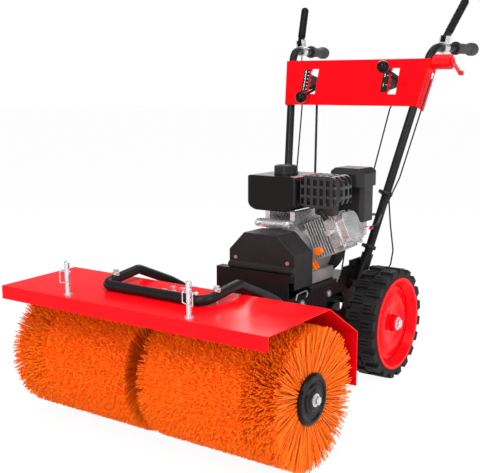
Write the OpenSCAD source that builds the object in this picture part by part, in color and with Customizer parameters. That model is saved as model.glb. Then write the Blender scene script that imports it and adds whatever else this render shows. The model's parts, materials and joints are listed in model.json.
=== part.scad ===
// Walk-behind power brush sweeper: a brush under a hood, a small engine on a two-wheeled
// chassis, and a handlebar with a control panel. Millimetres, +Z up, floor at zero.
// Pieces are drawn from the brush axis (y = 0 there, front towards -Y) and then centred.

/* [Brush] */
// Outside radius of the brush
brush_r = 175; // [168:1:178]
// Width over the two end flanges
brush_w = 852; // [820:1:880]
// Radius of the brush drums
drum_r = 50; // [46:1:54]
// Radius of the brush shaft
brush_shaft_r = 12.5; // [10:0.5:13]
// Radius of the end flanges
flange_r = 63; // [58:1:70]
// Strands in each ring
strands_round = 16; // [8:2:18]
// Rings of strands on each half
strand_rings = 13; // [8:1:15]

/* [Hood] */
// Width of the hood
hood_w = 850; // [820:1:880]
// Front edge ahead of the brush axis
hood_front = 202; // [190:1:215]
// Height of the hood's front edge
hood_top_z = 375.6; // [368:0.2:385]
// Depth of the front lip
hood_lip = 35.5; // [25:0.5:50]

/* [Yoke] */
// Radius of the yoke tube
yoke_r = 13; // [11:0.5:14]
// Half the width of the yoke
yoke_half_w = 166; // [150:1:180]

/* [Posts] */
// Half the distance between the accessory posts
post_x = 196; // [186:1:230]
// Radius of a post
post_r = 7; // [6:0.5:9]
// Height of a post above the hood
post_h = 88; // [80:1:100]

/* [Gearbox and swivel] */
// Radius of the brush gearbox
gearbox_r = 54; // [53:0.5:56]
// Radius of the drive shafts
shaft_r = 10; // [9:0.5:11]
// Swivel axis behind the brush axis
swivel_y = 280; // [276:1:290]
// Radius of the kingpins
kingpin_r = 8; // [6:0.5:10]

/* [Chassis] */
// Half the width over the side plates
frame_half_w = 126; // [120:1:128]
// Top of the engine deck
deck_z = 300; // [296:1:304]
// Rear end of the chassis
frame_rear = 815; // [805:1:830]

/* [Belt drive] */
// Radius of the crank pulley
crank_pulley_r = 40; // [36:1:42]
// Radius of the drive pulley
drive_pulley_r = 60; // [54:1:62]

/* [Wheels] */
// Outside radius of the tyres
tyre_r = 172; // [168:1:176]
// Width of the tyres
tyre_w = 95; // [86:1:100]
// Outer face of the tyres from the middle
wheel_out = 288; // [284:1:296]
// Axle behind the brush axis
axle_y = 739; // [732:1:746]
// Radius of the axle
axle_r = 10; // [9:0.5:12]
// Tread bars in each row
lug_count = 20; // [14:2:24]

/* [Engine] */
// Width of the fuel tank
tank_w = 182; // [164:1:188]
// Height of the fuel tank
tank_h = 104; // [98:1:108]
// Height of the muffler guard
guard_h = 92; // [86:1:98]

/* [Handlebar] */
// Radius of the handle tubes
tube_r = 13.5; // [12:0.5:14]
// Lean of the handle tubes from upright
tube_lean = 18; // [17:0.5:19]
// Height of the panel's lower edge
panel_z = 832; // [824:1:840]
// Height of the panel along its slope
panel_h = 158; // [150:1:166]
// Depth of the panel's side flanges
panel_d = 60; // [50:1:66]
// Height of the hand grips
grip_z = 1024; // [1016:1:1034]
// Length of the hand grips
grip_l = 121; // [112:1:130]
// Radius of the hand grips
grip_r = 17; // [16:0.5:18]
// Distance from the tube corner to a grip's end
handle_reach = 270; // [260:1:280]

/* [Controls] */
// Length of a clutch lever
clutch_l = 160; // [150:1:170]
// Radius of a clutch lever's handle
clutch_r = 13.5; // [12:0.5:14]
// Selector levers from the middle
selector_x = 151; // [146:1:156]
// Length of a selector lever
selector_l = 180; // [172:1:186]

/* [Hidden] */
$fn = 64;
// Cuts run past a face by this much
overrun = 2;
// Gap between pieces that move past each other
run_gap = 0.4;
// Gap between pieces that sit on each other
seat_gap = 0.2;
// Radial clearance of shafts and pins in bores
pin_fit = 0.05;
// Lap of a bent tube's runs on its elbows, and the elbows' step, as shares
lap_share = 0.017;
seam_share = 0.009;

// Sizes that stay as they are
hood_crease_y = 64.5;
hood_rear_y = 208;
hood_rear_z = 293;
front_plate_y = 355;
frame_bottom = 112;
cover_y = 365;
cover_top = 480;
crank_x = 25;
case_r = 84;
cylinder_lean = 25;
tank_d = 172;
guard_w = 134;
cleaner_w = 112;
tube_x = 230.2;
tube_y = 934.4;
grip_splay = 6.65;
clutch_angle = 56.5;
yoke_front = 85;
backing_t = 8;
flange_t = 12;
hood_t = 2.5;
hood_rise = 5.4;
hood_rear_bottom = 150.5;
yoke_peak_y = 54;
yoke_peak_rise = 17;
yoke_knee_y = 186;
yoke_knee_drop = 38;
yoke_bend_r = 30;
post_front = 181;
post_hole_r = 2.6;
post_pitch = 12;
gearbox_half_w = 42;
gearbox_wall = 6;
bevel_module = 4;
bevel_teeth = 20;
torque_r = 17;
swivel_half_h = 85;
plate_t = 4;
front_plate_top = 372;
deck_y = 462;
belt_w = 13;
belt_t = 8;
belt_y = 416;
idler_r = 22;
cover_t = 2.5;
cover_depth = 98;
cover_shoulder = 426;
cover_side_bottom = 329;
rim_r = 143;
lug_h = 9;
crank_rise = 106;
case_y = 484;
case_l = 156;
fin_w = 104;
tank_z = 533;
cap_r = 36;
guard_d = 88;
cleaner_top = 660;
panel_t = 2;
tube_bend_r = 60;
grip_end_r = 22;
clutch_tilt = 10.2;
knob_r = 20;
selector_up = 15.5;
selector_down = 16;
cable_r = 2.5;

// Brush details
axis_z = brush_r;
drum_gap = 3;
drum_in = gearbox_half_w + drum_gap;
drum_out = brush_w / 2 - flange_t - seat_gap;
drum_wall = 4;
drum_web = 8;
strand_r = 3.2;
strand_inset = 6;
tip_in = 22.5;
tip_out = brush_w / 2 - strand_r;
flange_shares = [[0, 0], [1, 0], [1, 0.45], [0.92, 0.75], [0.8, 0.75], [0.74, 0.5], [0.62, 0.5],
                 [0.56, 0.8], [0.44, 0.8], [0.38, 1], [0, 1]];
end_washer_r = 16;
end_washer_t = 2.5;
end_head_r = 11;
end_head_t = 8;

// Hood details
hood_crease_z = hood_top_z + hood_rise;
hood_slope = atan(hood_rise / (hood_front + hood_crease_y));
function hood_z(y) = hood_top_z + (y + hood_front) * tan(hood_slope);
notch_half_w = 24;
notch_rise = 30;
notch_top = axis_z + notch_rise;
support_web_t = 8;
support_web_d = 70;
support_top_w = 110;
support_top_d = 90;
support_top_t = 8;
support_foot_t = 6;
support_pad_w = 30;
support_pad_t = 4;
hood_bolt_r = 4;
hood_bolt_x = 15;
hood_bolt_y = 18;
hood_head_r = 8;
hood_head_t = 6;

// Swivel details
swivel_plate_y = 231;
plate_big_t = 6;
swivel_plate_half_w = 184;
swivel_wing_bottom = 216;
swivel_wing_top = 300;
swivel_core_half_w = 46;
lug_t = 8;
lug_r = 28;
kingpin_head_r = 13;
kingpin_head_t = 6;
fork_r = 22;
fork_base_t = 8;
fork_reach = 8;
fork_back = 30;
ear_in = 13;
ear_t = 6;
ear_half_w = 7;
joint_ball_r = 9;
joint_pin_r = 4;

// Yoke details
yoke_wall = 2.5;
yoke_foot_fall = 27;
yoke_z = hood_z(-yoke_front) + yoke_r + seat_gap;
yoke_foot_y = swivel_plate_y + plate_big_t + yoke_r + seat_gap;
yoke_foot_z = 222;
yoke_clamp_y = 36;
yoke_bolt_r = 4;
clamp_r = 10;
clamp_h = 9;
clamp_head_r = 8;
clamp_head_t = 6;

// Post details
post_holes = 5;
post_hole_z = 26;
post_relief = 0.5;
post_free_gap = 1.5;
post_collar_r = 11;
post_collar_t = 5;
post_stud_r = 5;
post_stud_l = 16;
post_nut_r = 9;
post_nut_t = 7;
post_nut_drop = 3;
linch_r = 2.3;
linch_reach = 22;
linch_tail = 12;
linch_ball_r = 4.5;
linch_wire_r = 1.3;
linch_drop = 30;
linch_share = 0.8;

// Gearbox details
bevel_r = bevel_module * bevel_teeth / 2;
bevel_cone = atan(2);
pinion_r = bevel_r / 2;
pinion_teeth = bevel_teeth / 2;
cone_l = norm([bevel_r, pinion_r]);
tooth_flank = 20;
tooth_face_share = 0.34;
tooth_thick_share = 0.33;
addendum_share = 0.55;
dedendum_share = 0.85;
root_share = 0.62;
gear_back = gearbox_half_w - gearbox_wall - run_gap * 2;
neck_r = 28;
neck_end = 74;
pinion_pocket_r = 24;
pinion_back = 47;
torque_wall = 4;

// Chassis details
front_flange_d = 32;
front_flange_t = 3;
shaft_hole_r = 24;
cross_y = deck_y + plate_t * 2;
bearing_r = 34;
bearing_l = 16;
bearing_hub_r = 20;
shaft_end_y = 706;
transaxle_half_w = 58;
transaxle_front = 692;
transaxle_rear = 788;
transaxle_half_h = 58;
transaxle_round = 24;
transaxle_rib_t = 5;
rib_share = 0.8;
hanger_t = 8;
rear_plate_bottom = 190;
side_shares = [[0, 0], [0, 1], [0.23, 1], [0.64, 1], [0.72, 1.22], [0.93, 1.22], [1, 1], [1, 0.42],
               [0.9, 0.04], [0.74, 0]];
side_window_y = 575;
side_window_z = 205;
side_window_w = 110;
side_window_h = 60;
side_window_r = 20;
axle_z = tyre_r;
axle_nut_t = 10;
axle_end = wheel_out + axle_nut_t;
axle_bearing_r = 30;
axle_bearing_l = 13;
axle_hole_r = 22;

// Belt details
crank_z = deck_z + crank_rise;
groove_spare = 1;
groove_depth = belt_t + groove_spare;
pulley_side = 5;
pulley_w = belt_w + run_gap * 2 + pulley_side * 2;
crank_shaft_front = 396;
crank_shaft_back = 516;
belt_gap = 0.4;
belt_lap = 1;
belt_seam = 0.03;
idler_x = -64;
idler_z = 300;
idler_pivot_x = -94;
idler_pivot_z = 236;
idler_arm_t = 6;
idler_pin_r = 6;
idler_hub_r = 12;

// Belt cover details
cover_left = -85;
cover_right = 142;
cover_ridge_left = -33;
cover_ridge_right = 80;
cover_lip_r = 9;
cover_screw_r = 6;
cover_screw_t = 4;
cover_screw_inset = 24;
cover_screw_z = 404;

// Wheel details
wheel_in = wheel_out - tyre_w;
tyre_bead_r = 138;
carcass_r = tyre_r - lug_h;
tyre_round = 12;
lug_len_share = 0.46;
lug_fill_share = 0.55;
rim_t = 4;
rim_lip = 3;
dish_depth = 26;
dish_r = 112;
hub_r = 24;
hub_in = frame_half_w + axle_bearing_l + overrun;

// Engine details
case_base_w = 174;
case_base_h = 52;
case_foot_w = 200;
case_foot_t = 12;
case_boss_r = 40;
case_boss_l = 10;
case_bolt_r = 6;
case_bolt_ring = 70;
case_rib_d = 4;
cylinder_y = 560;
cylinder_from = 55;
cylinder_core = 80;
cylinder_to = 158;
fin_t = 3;
barrel_share = 0.72;
fin_pitch = 9;
fin_count = 8;
fin_h = 112;
head_l = 28;
head_fin_count = 7;
head_fin_pitch = 13;
rocker_l = 30;
rocker_w = 104;
rocker_h = 100;
rocker_round = 22;
rocker_flange_t = 6;
plug_r = 6;
plug_cap_r = 9;
plug_l = 26;
tank_gap = 13;
tank_y = 466;
tank_round = 18;
tank_belly_round = 44;
neck_ring_r = 24;
neck_ring_h = 8;
cap_x = -8;
cap_y = 552;
cap_h = 26;
cap_shares = [0.3, 0.87, 0.72, 0.4];
cap_grips = 18;
cap_grip_r = 2.4;
stay_w = 16;
stay_gap = 88;
stay_y = 476;
stay_z = 500;
stay_bar_r = 8;
guard_x = 97;
guard_y = 450;
guard_z = 556;
tank_x = guard_x - tank_gap - tank_w;
guard_round = 30;
guard_t = 4;
guard_cols = 6;
guard_rows = 3;
guard_bar = 8;
muffler_gap = 10;
pipe_in = 66;
pipe_r = 13;
cleaner_x = 118;
cleaner_y = 588;
cleaner_d = 110;
cleaner_split = 606;
cleaner_bottom = 500;
cleaner_round = 22;
cleaner_inset = 8;
cleaner_body_d = 76;
carb_x = 170;
carb_y = cylinder_y + fin_w / 2 + seat_gap;
carb_w = 46;
carb_d = 44;
carb_h = 44;
carb_bowl_r = 17;
carb_bowl_h = 20;
choke_r = 8;
choke_l = 34;
choke_t = 4;
fan_l = 58;
fan_r = 98;
fan_duct_w = 122;
fan_duct_top = 492;
recoil_r = 78;
recoil_l = 28;
recoil_slots = 10;
recoil_slot_w = 7;
recoil_slot_in = 34;
recoil_slot_out = 68;
rope_r = 2.5;
rope_in = 96;
rope_x = -36;
rope_z = 438;
rope_turn = 30;
pull_w = 46;
pull_t = 18;
pull_h = 24;
dip_x = 104;
dip_y = 512;
dip_z = 364;
dip_lean = 53;
dip_boss_r = 13;
dip_boss_l = 16;
dip_cap_r = 15;
dip_cap_h = 14;
dip_rod_r = 4;
dip_wing_t = 5;

// Handlebar details
tube_wall = 2;
tube_run_share = 0.152;
function tube_u(v) = tube_x + v * tube_run_share;
tube_foot_v = -573;
tube_foot = [tube_u(tube_foot_v), tube_y + tube_foot_v * sin(tube_lean),
  panel_z + tube_foot_v * cos(tube_lean)];
corner_v = (grip_z - panel_z) / cos(tube_lean);
corner = [tube_u(corner_v), tube_y + corner_v * sin(tube_lean), grip_z];
tube_way = unit(corner - tube_foot);
grip_way = [sin(grip_splay), cos(grip_splay), 0];
grip_end = corner + grip_way * handle_reach;
panel_front = tube_r + seat_gap;
panel_side = (tube_r + seat_gap + panel_t) / cos(atan(tube_run_share));
slot_left = 8;
slot_right = 17;
slot_margin = 9;
slot_rise = 22;
slot_tooth = 4;
slot_teeth = 5;
socket_r = 18.5;
socket_l = 92;
socket_plate_t = 5;
socket_plate_y = 716;
socket_plate_d = 84;
socket_plate_z = 266;
socket_plate_h = 92;
frame_bolt_r = 9;
frame_bolt_t = 7;
bolt_share = 0.16;

// Control details
clutch_at = 72;
clutch_rise = 28;
clutch_grip_from = 30;
clutch_grooves = 5;
groove_r = 3;
clutch_hub_r = 11;
clutch_hub_w = 18;
clutch_neck_w = 14;
clutch_pin_r = 4;
cheek_t = 4;
clamp_l = 28;
clamp_ring_r = 18.5;
grip_grooves = 7;
grip_groove_r = 1.6;
groove_share = 0.75;
selector_y = 1042;
selector_z = 912;
selector_pivot = [selector_y, selector_z];
selector_rod_r = 4.5;
knob_shares = [1.6, 0.6, 0.9];
selector_hub_r = 11;
selector_hub_w = 18;
selector_pin_r = 5;
selector_cheek_t = 3;
stud_at = 84;
stud_r = 4;
stud_l = 16;
eye_r = 12;
eye_bore_r = 8.2;
eye_t = 6;
rod_r = 4;
plunger_x = -48;
plunger_y = 790;
plunger_top = 345;
plunger_bottom = 252;
plunger_r = 6;
bush_r = 11;
bush_h = 28;
throttle_v = 156;
throttle_n = -14;
throttle_r = 24;
throttle_w = 58;
throttle_arm_l = 74;
throttle_arm_w = 11;
throttle_arm_t = 7;
throttle_drop = 28;
throttle_hub_r = 13;
throttle_pin_r = 4;
throttle_pin_l = 10;
cheek_low = 52;
cheek_high = 108;
eye_x = 10;
cable_bend_r = 25;
cable_high_v = 118;
cable_low_v = 285;
cable_room = 5;
// Cable routes, in steps of route_step
route_step = 100;
right_shares = [[1.9, 8.76, 4.55], [1.91, 8.99, 3.69], [1.86, 8.92, 3.15], [1.14, 8.2, 2.62]];
throttle_shares = [[2.16, 8.78, 6.1], [2.14, 7.6, 5.05], [2.46, 6.68, 4.9], [2.24, 6.22, 4.78]];
left_shares = [[-1.96, 9.52, 8.26], [-1.6, 8.62, 6.1], [-1.33, 6.4, 4.2], [-1.3, 4.8, 2.7]];
selector_shares = [[1.63, 10.3, 9], [1.25, 9.85, 8.3], [1.18, 8.8, 6.1], [0.7, 8, 4], [0.6, 7.92, 3.02]];
dome_first = 430;
dome_pitch = 157;
dome_z = 276;
dome_r = 11;
dome_t = 9;
latch_r = 2;
latch_l = 67;
latch_y = 395;
latch_z = 290;
latch_shares = [[0, 0.03], [0.104, 0.27], [0.85, 0.313], [1, 0.15], [0.82, 0]];

// Where the whole part is centred between its front edge and its grips
back_y = grip_end.y + grip_end_r;
origin_y = (hood_front - back_y) / 2;

// Vectors and sheet outlines
function unit(v) = v / norm(v);
function turn_of(u, w) = acos(max(-1, min(1, u * w)));
function side_of(a, b) = let (d = unit(b - a)) [d.y, -d.x];
function mitre(pts, i, t) =
  let (n = len(pts),
       a = side_of(pts[max(i - 1, 0)], pts[max(i, 1)]),
       b = side_of(pts[min(i, n - 2)], pts[min(i + 1, n - 1)]))
  pts[i] + (a + b) * t / (1 + a * b);
function sheet(pts, t) = concat(pts, [for (i = [len(pts) - 1:-1:0]) mitre(pts, i, t)]);

module placed() { translate([0, origin_y, 0]) children(); }

module both_sides() {
  children();
  mirror([1, 0, 0]) children();
}

// Draws an outline of [y, z] points as a bar along X
module bar_x(w) { rotate([90, 0, 90]) linear_extrude(w, center = true) children(); }

// Draws an outline of [x, z] points as a bar along Y, starting at y = 0
module bar_y(d) { translate([0, d, 0]) rotate([90, 0, 0]) linear_extrude(d) children(); }

module up(z) { translate([0, 0, z]) children(); }

// Turns a piece that stands along Z to lie along X
module lie_x() { rotate([0, 90, 0]) children(); }

module rod_x(r, l) { lie_x() cylinder(r = r, h = l, center = true); }

module rod_y(r, l) { rotate([-90, 0, 0]) rod_z(r, l); }

module rod_z(r, l) { cylinder(r = r, h = l); }

module along(at, way) { translate(at) rotate([0, acos(way.z), atan2(way.y, way.x)]) children(); }

module rod(a, b, r) { along(a, unit(b - a)) rod_z(r, norm(b - a)); }

module ring(r, bore) {
  difference() {
    circle(r);
    if (bore > 0) circle(bore);
  }
}

module round_rect(w, h, r) {
  translate([r, 0]) square([w - 2 * r, h]);
  translate([0, r]) square([w, h - 2 * r]);
  for (x = [r, w - r], y = [r, h - r]) translate([x, y]) circle(r);
}

// One elbow of a bent tube at corner p, from way u to way w
module elbow(p, u, w, t, bend_r, r, bore) {
  seam = r * seam_share;
  n = unit(w - u * (u * w));
  s = cross(u, n);
  c = p - u * t + n * bend_r;
  multmatrix([[-n.x, u.x, s.x, c.x], [-n.y, u.y, s.y, c.y], [-n.z, u.z, s.z, c.z], [0, 0, 0, 1]])
    rotate_extrude(angle = turn_of(u, w), $fn = 96)
      translate([bend_r, 0]) ring(r - seam, bore > 0 ? bore + seam : 0);
}

// A round tube through the points, with every corner bent to one radius
module bent_tube(pts, bend_r, r, bore = 0) {
  n = len(pts);
  u = [for (i = [0:n - 2]) unit(pts[i + 1] - pts[i])];
  t = [for (i = [0:n - 1]) i == 0 || i == n - 1 ? 0 : bend_r * tan(turn_of(u[i - 1], u[i]) / 2)];
  for (i = [0:n - 2]) {
    a = i == 0 ? 0 : bend_r * lap_share;
    b = i == n - 2 ? 0 : bend_r * lap_share;
    along(pts[i] + u[i] * (t[i] - a), u[i])
      linear_extrude(norm(pts[i + 1] - pts[i]) - t[i] - t[i + 1] + a + b) ring(r, bore);
  }
  for (i = [1:n - 2]) elbow(pts[i], u[i - 1], u[i], t[i], bend_r, r, bore);
}

module hex_bolt(head_r, head_t, shank_r, shank_l) {
  cylinder(r = head_r, h = head_t, $fn = 6);
  up(-shank_l) rod_z(shank_r, shank_l);
}

// Places children on the hood's top at x, y
module on_hood(x, y) { translate([x, y, hood_z(y)]) rotate([hood_slope, 0, 0]) children(); }

hood_line = [[-hood_front, hood_top_z - hood_lip], [-hood_front, hood_top_z],
             [hood_crease_y, hood_crease_z], [hood_rear_y, hood_rear_z], [hood_rear_y, hood_rear_bottom]];

module hood() {
  color("red") difference() {
    bar_x(hood_w) polygon(sheet(hood_line, hood_t));
    translate([-notch_half_w, hood_rear_y - hood_t - overrun, 0])
      cube([notch_half_w * 2, hood_t + overrun * 2, notch_top]);
    for (x = [-hood_bolt_x, hood_bolt_x], y = [-hood_bolt_y, hood_bolt_y])
      on_hood(x, y) cylinder(r = hood_bolt_r + seat_gap, h = hood_t * 4, center = true);
    for (x = [-post_x, post_x])
      on_hood(x, -post_front) cylinder(r = post_stud_r + seat_gap, h = hood_t * 4, center = true);
    for (x = [-yoke_half_w, yoke_half_w])
      translate([x, -yoke_clamp_y, hood_z(0)])
        cylinder(r = yoke_bolt_r + seat_gap, h = hood_t * 8, center = true);
  }
}

module hood_support() {
  pad_top = axis_z + gearbox_r + support_pad_t + seat_gap;
  under = hood_t / cos(hood_slope) + seat_gap;
  d = support_top_d / 2;
  top = [[-d, hood_z(-d) - under], [d, hood_z(d) - under], [d, hood_z(d) - under - support_top_t],
         [-d, hood_z(-d) - under - support_top_t]];
  color("dimgray") difference() {
    union() {
      bar_x(support_top_w) polygon(top);
      translate([-support_web_t / 2, -support_web_d / 2, pad_top])
        cube([support_web_t, support_web_d, hood_z(-d) - under - support_top_t / 2 - pad_top]);
      translate([-support_pad_w / 2, -support_web_d / 2, pad_top])
        cube([support_pad_w, support_web_d, support_foot_t]);
    }
    for (x = [-hood_bolt_x, hood_bolt_x], y = [-hood_bolt_y, hood_bolt_y])
      on_hood(x, y) cylinder(r = hood_bolt_r + seat_gap, h = support_top_t * 4, center = true);
  }
}

yoke_knee_z = yoke_z - yoke_knee_drop;
yoke_leg_z = yoke_knee_z - (yoke_foot_y - yoke_knee_y) * tan(yoke_foot_fall);
yoke_line = [[-yoke_front, yoke_z], [yoke_peak_y, yoke_z + yoke_peak_rise], [yoke_knee_y, yoke_knee_z],
             [yoke_foot_y, yoke_leg_z], [yoke_foot_y, yoke_foot_z]];
yoke_points = concat([for (i = [len(yoke_line) - 1:-1:0]) concat([-yoke_half_w], yoke_line[i])],
                     [for (p = yoke_line) concat([yoke_half_w], p)]);
yoke_arm_slope = atan(yoke_peak_rise / (yoke_front + yoke_peak_y));
yoke_clamp_z = yoke_z + (yoke_front - yoke_clamp_y) * tan(yoke_arm_slope);
yoke_leg_bolts = [swivel_wing_bottom + yoke_r * 3 / 2, swivel_wing_bottom + yoke_r * 4];

module yoke_tube() {
  color("black") difference() {
    bent_tube(yoke_points, yoke_bend_r, yoke_r, yoke_r - yoke_wall);
    for (x = [-yoke_half_w, yoke_half_w])
      translate([x, -yoke_clamp_y, yoke_clamp_z])
        cylinder(r = yoke_bolt_r + seat_gap, h = yoke_r * 3, center = true);
    for (x = [-yoke_half_w, yoke_half_w], z = yoke_leg_bolts)
      translate([x, yoke_foot_y - yoke_r * 2, z]) rod_y(yoke_bolt_r + seat_gap, yoke_r * 4);
  }
}

// Bolts of the brush head: hood to support, and yoke to hood and swivel bracket
module head_bolts() {
  grip = hood_t + support_top_t + seat_gap * 2;
  down = yoke_clamp_z + yoke_r - hood_z(-yoke_clamp_y) + hood_t * 3;
  through = yoke_r * 2 + plate_big_t + seat_gap * 2 + clamp_head_t;
  color("silver") for (x = [-hood_bolt_x, hood_bolt_x], y = [-hood_bolt_y, hood_bolt_y]) on_hood(x, y) {
    hex_bolt(hood_head_r, hood_head_t, hood_bolt_r, grip + hood_head_t);
    up(-grip - hood_head_t) cylinder(r = hood_head_r, h = hood_head_t, $fn = 6);
  }
  color("silver") for (x = [-yoke_half_w, yoke_half_w]) {
    translate([x, -yoke_clamp_y, yoke_clamp_z]) {
      difference() {
        up(yoke_r - clamp_h / 2) rod_z(clamp_r, clamp_h);
        rotate([yoke_arm_slope, 0, 0]) rotate([90, 0, 0])
          cylinder(r = yoke_r + seat_gap, h = clamp_r * 4, center = true);
        up(-overrun) rod_z(yoke_bolt_r + seat_gap, yoke_r * 3);
      }
      up(yoke_r + clamp_h / 2 + seat_gap)
        hex_bolt(clamp_head_r, clamp_head_t, yoke_bolt_r, down + clamp_h / 2);
    }
    for (z = yoke_leg_bolts) translate([x, yoke_foot_y + yoke_r + seat_gap, z]) rotate([-90, 0, 0]) {
      hex_bolt(clamp_head_r, clamp_head_t, yoke_bolt_r, through);
      up(-through) cylinder(r = clamp_head_r, h = clamp_head_t - seat_gap * 3, $fn = 6);
    }
  }
}

linch_z = post_hole_z + (post_holes - 2) * post_pitch;
post_free_z = linch_z + linch_ball_r + post_free_gap;

// Accessory posts: full size above the parked linch pin
module accessory_posts() {
  color("silver") for (x = [-post_x, post_x]) on_hood(x, -post_front) difference() {
    union() {
      rod_z(post_r - post_relief, post_free_z + overrun);
      up(post_free_z) rod_z(post_r, post_h - post_r / 3 - post_free_z);
      up(post_h - post_r / 3) cylinder(r1 = post_r, r2 = post_r * 2 / 3, h = post_r / 3);
      rod_z(post_collar_r, post_collar_t);
      up(-post_stud_l) rod_z(post_stud_r, post_stud_l);
      up(-post_nut_drop - post_nut_t) cylinder(r = post_nut_r, h = post_nut_t, $fn = 6);
    }
    for (i = [0:post_holes - 1])
      up(post_hole_z + i * post_pitch) rod_x(post_hole_r, post_r * 4);
  }
}

// A linch pin through a hole of each post, with its sprung wire bail
module linch_pins() {
  y = -post_r - linch_wire_r - seat_gap * 2;
  a = linch_reach - linch_ball_r;
  color("silver") for (side = [-1, 1]) on_hood(side * post_x, -post_front) up(linch_z)
    mirror([side > 0 ? 0 : 1, 0, 0]) {
      rod([-linch_tail, 0, 0], [linch_reach, 0, 0], linch_r);
      translate([linch_reach, 0, 0]) sphere(r = linch_ball_r);
      bent_tube([[a, 0, 0], [a, y, 0], [a, y, -linch_drop], [-linch_tail, y, -linch_drop * linch_share],
                 [-linch_tail, y, 0], [-linch_tail + linch_wire_r, 0, 0]], linch_wire_r * 2, linch_wire_r);
    }
}

// Brush
strand_faces = [[0, 1, 2], [5, 4, 3], [0, 3, 1], [1, 3, 4], [1, 4, 2], [2, 4, 5], [2, 5, 0], [0, 5, 3]];
function strand_ring(x, r, a) =
  [for (k = [0:2]) [x + strand_r * cos(120 * k), r * cos(a) + strand_r * sin(120 * k) * sin(a),
                    r * sin(a) - strand_r * sin(120 * k) * cos(a)]];
function spread(i, a, b) = a + (b - a) * i / (strand_rings - 1);

// Strands stand in staggered rings and fan towards both ends
module bristles() {
  up(axis_z) {
    translate([drum_in, 0, 0]) lie_x()
      linear_extrude(drum_out - drum_in) ring(drum_r + backing_t, drum_r + seat_gap);
    for (i = [0:strand_rings - 1], j = [0:strands_round - 1]) {
      a = 360 / strands_round * (j + (i % 2) / 2);
      root = strand_ring(spread(i, drum_in + strand_inset, drum_out - strand_inset),
        drum_r + backing_t / 2, a);
      tip = strand_ring(spread(i, tip_in, tip_out), brush_r, a);
      polyhedron(concat(root, tip), strand_faces);
    }
  }
}

module bristles_left() { color("orange") mirror([1, 0, 0]) bristles(); }

module bristles_right() { color("orange") bristles(); }

module brush_drums() {
  bore = brush_shaft_r + seat_gap;
  shell = drum_r - drum_wall;
  l = drum_out - drum_in;
  color("dimgray") both_sides() translate([drum_in, 0, axis_z]) lie_x() rotate_extrude()
    polygon([[bore, 0], [drum_r, 0], [drum_r, l], [bore, l], [bore, l - drum_web], [shell, l - drum_web],
             [shell, drum_web], [bore, drum_web]]);
}

module end_flanges() {
  bore = brush_shaft_r + seat_gap;
  color("black") both_sides() translate([brush_w / 2 - flange_t, 0, axis_z]) lie_x() difference() {
    rotate_extrude() polygon([for (p = flange_shares) [p[0] * flange_r, p[1] * flange_t]]);
    up(-overrun) rod_z(bore, flange_t / 2 + overrun + seat_gap);
    up(-overrun) rod_z(end_head_r / 2 + seat_gap, flange_t + overrun * 2);
  }
}

module end_bolts() {
  color("silver") both_sides() translate([brush_w / 2, 0, axis_z]) lie_x() {
    rod_z(end_washer_r, end_washer_t);
    up(end_washer_t) cylinder(r = end_head_r, h = end_head_t, $fn = 6);
    up(-flange_t / 2) rod_z(end_head_r / 2, flange_t / 2);
  }
}

// Bevel teeth: straight flanks that run to the crossing of the two axes
tooth_faces = [[3, 2, 1, 0], [4, 5, 6, 7], [1, 5, 4, 0], [2, 6, 5, 1], [3, 7, 6, 2], [0, 4, 7, 3]];
function tooth_end(k, g, n, t) =
  let (m = bevel_module * k, w = 180 / bevel_teeth * bevel_r * tooth_thick_share * k * PI / 180,
       p = g * cone_l * k, a = m * addendum_share, d = m * dedendum_share)
  [p - n * d - t * (w + d * tan(tooth_flank)), p - n * d + t * (w + d * tan(tooth_flank)),
   p + n * a + t * (w - a * tan(tooth_flank)), p + n * a - t * (w - a * tan(tooth_flank))];
function tooth(cone, a) =
  let (g = [sin(cone) * cos(a), sin(cone) * sin(a), cos(cone)],
       n = [cos(cone) * cos(a), cos(cone) * sin(a), -sin(cone)], t = [-sin(a), cos(a), 0])
  concat(tooth_end(1 - tooth_face_share, g, n, t), tooth_end(1, g, n, t));

// A bevel gear about Z with its cone's point at zero
module bevel(cone, teeth, phase, back, bore) {
  k = 1 - tooth_face_share;
  d = bevel_module * root_share;
  root_in = [sin(cone), cos(cone)] * cone_l * k + [-cos(cone), sin(cone)] * d;
  root_out = [sin(cone), cos(cone)] * cone_l + [-cos(cone), sin(cone)] * d;
  rotate_extrude() polygon([[bore, root_in.y], root_in, root_out, [root_out.x, back], [bore, back]]);
  for (i = [0:teeth - 1]) polyhedron(tooth(cone, 360 / teeth * (i + phase)), tooth_faces);
}

// Brush shaft with the bevel gear on it
module brush_shaft() {
  color("gray") up(axis_z) {
    rod_x(brush_shaft_r, brush_w - flange_t);
    lie_x() rotate([0, 0, 90]) bevel(bevel_cone, bevel_teeth, 1 / 2, gear_back, brush_shaft_r - overrun);
  }
}

module gearbox_housing() {
  inner = gearbox_half_w - gearbox_wall;
  pad_top = axis_z + gearbox_r + support_pad_t;
  color("gray") difference() {
    union() {
      translate([-gearbox_half_w, 0, axis_z]) lie_x()
        rod_z(gearbox_r, gearbox_half_w + inner - seat_gap);
      translate([0, gearbox_r / 2, axis_z]) rod_y(neck_r, neck_end - gearbox_r / 2);
      translate([-support_pad_w / 2, -support_web_d / 2, axis_z + gearbox_r - gearbox_wall])
        cube([support_pad_w, support_web_d, pad_top - axis_z - gearbox_r + gearbox_wall]);
    }
    translate([-inner, 0, axis_z]) lie_x() rod_z(gearbox_r - gearbox_wall, inner * 2 + overrun);
    up(axis_z) rod_x(brush_shaft_r + pin_fit, gearbox_half_w * 3);
    up(axis_z) rod_y(pinion_pocket_r, pinion_back + run_gap);
    up(axis_z) rod_y(shaft_r + pin_fit, neck_end + overrun);
  }
}

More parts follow.
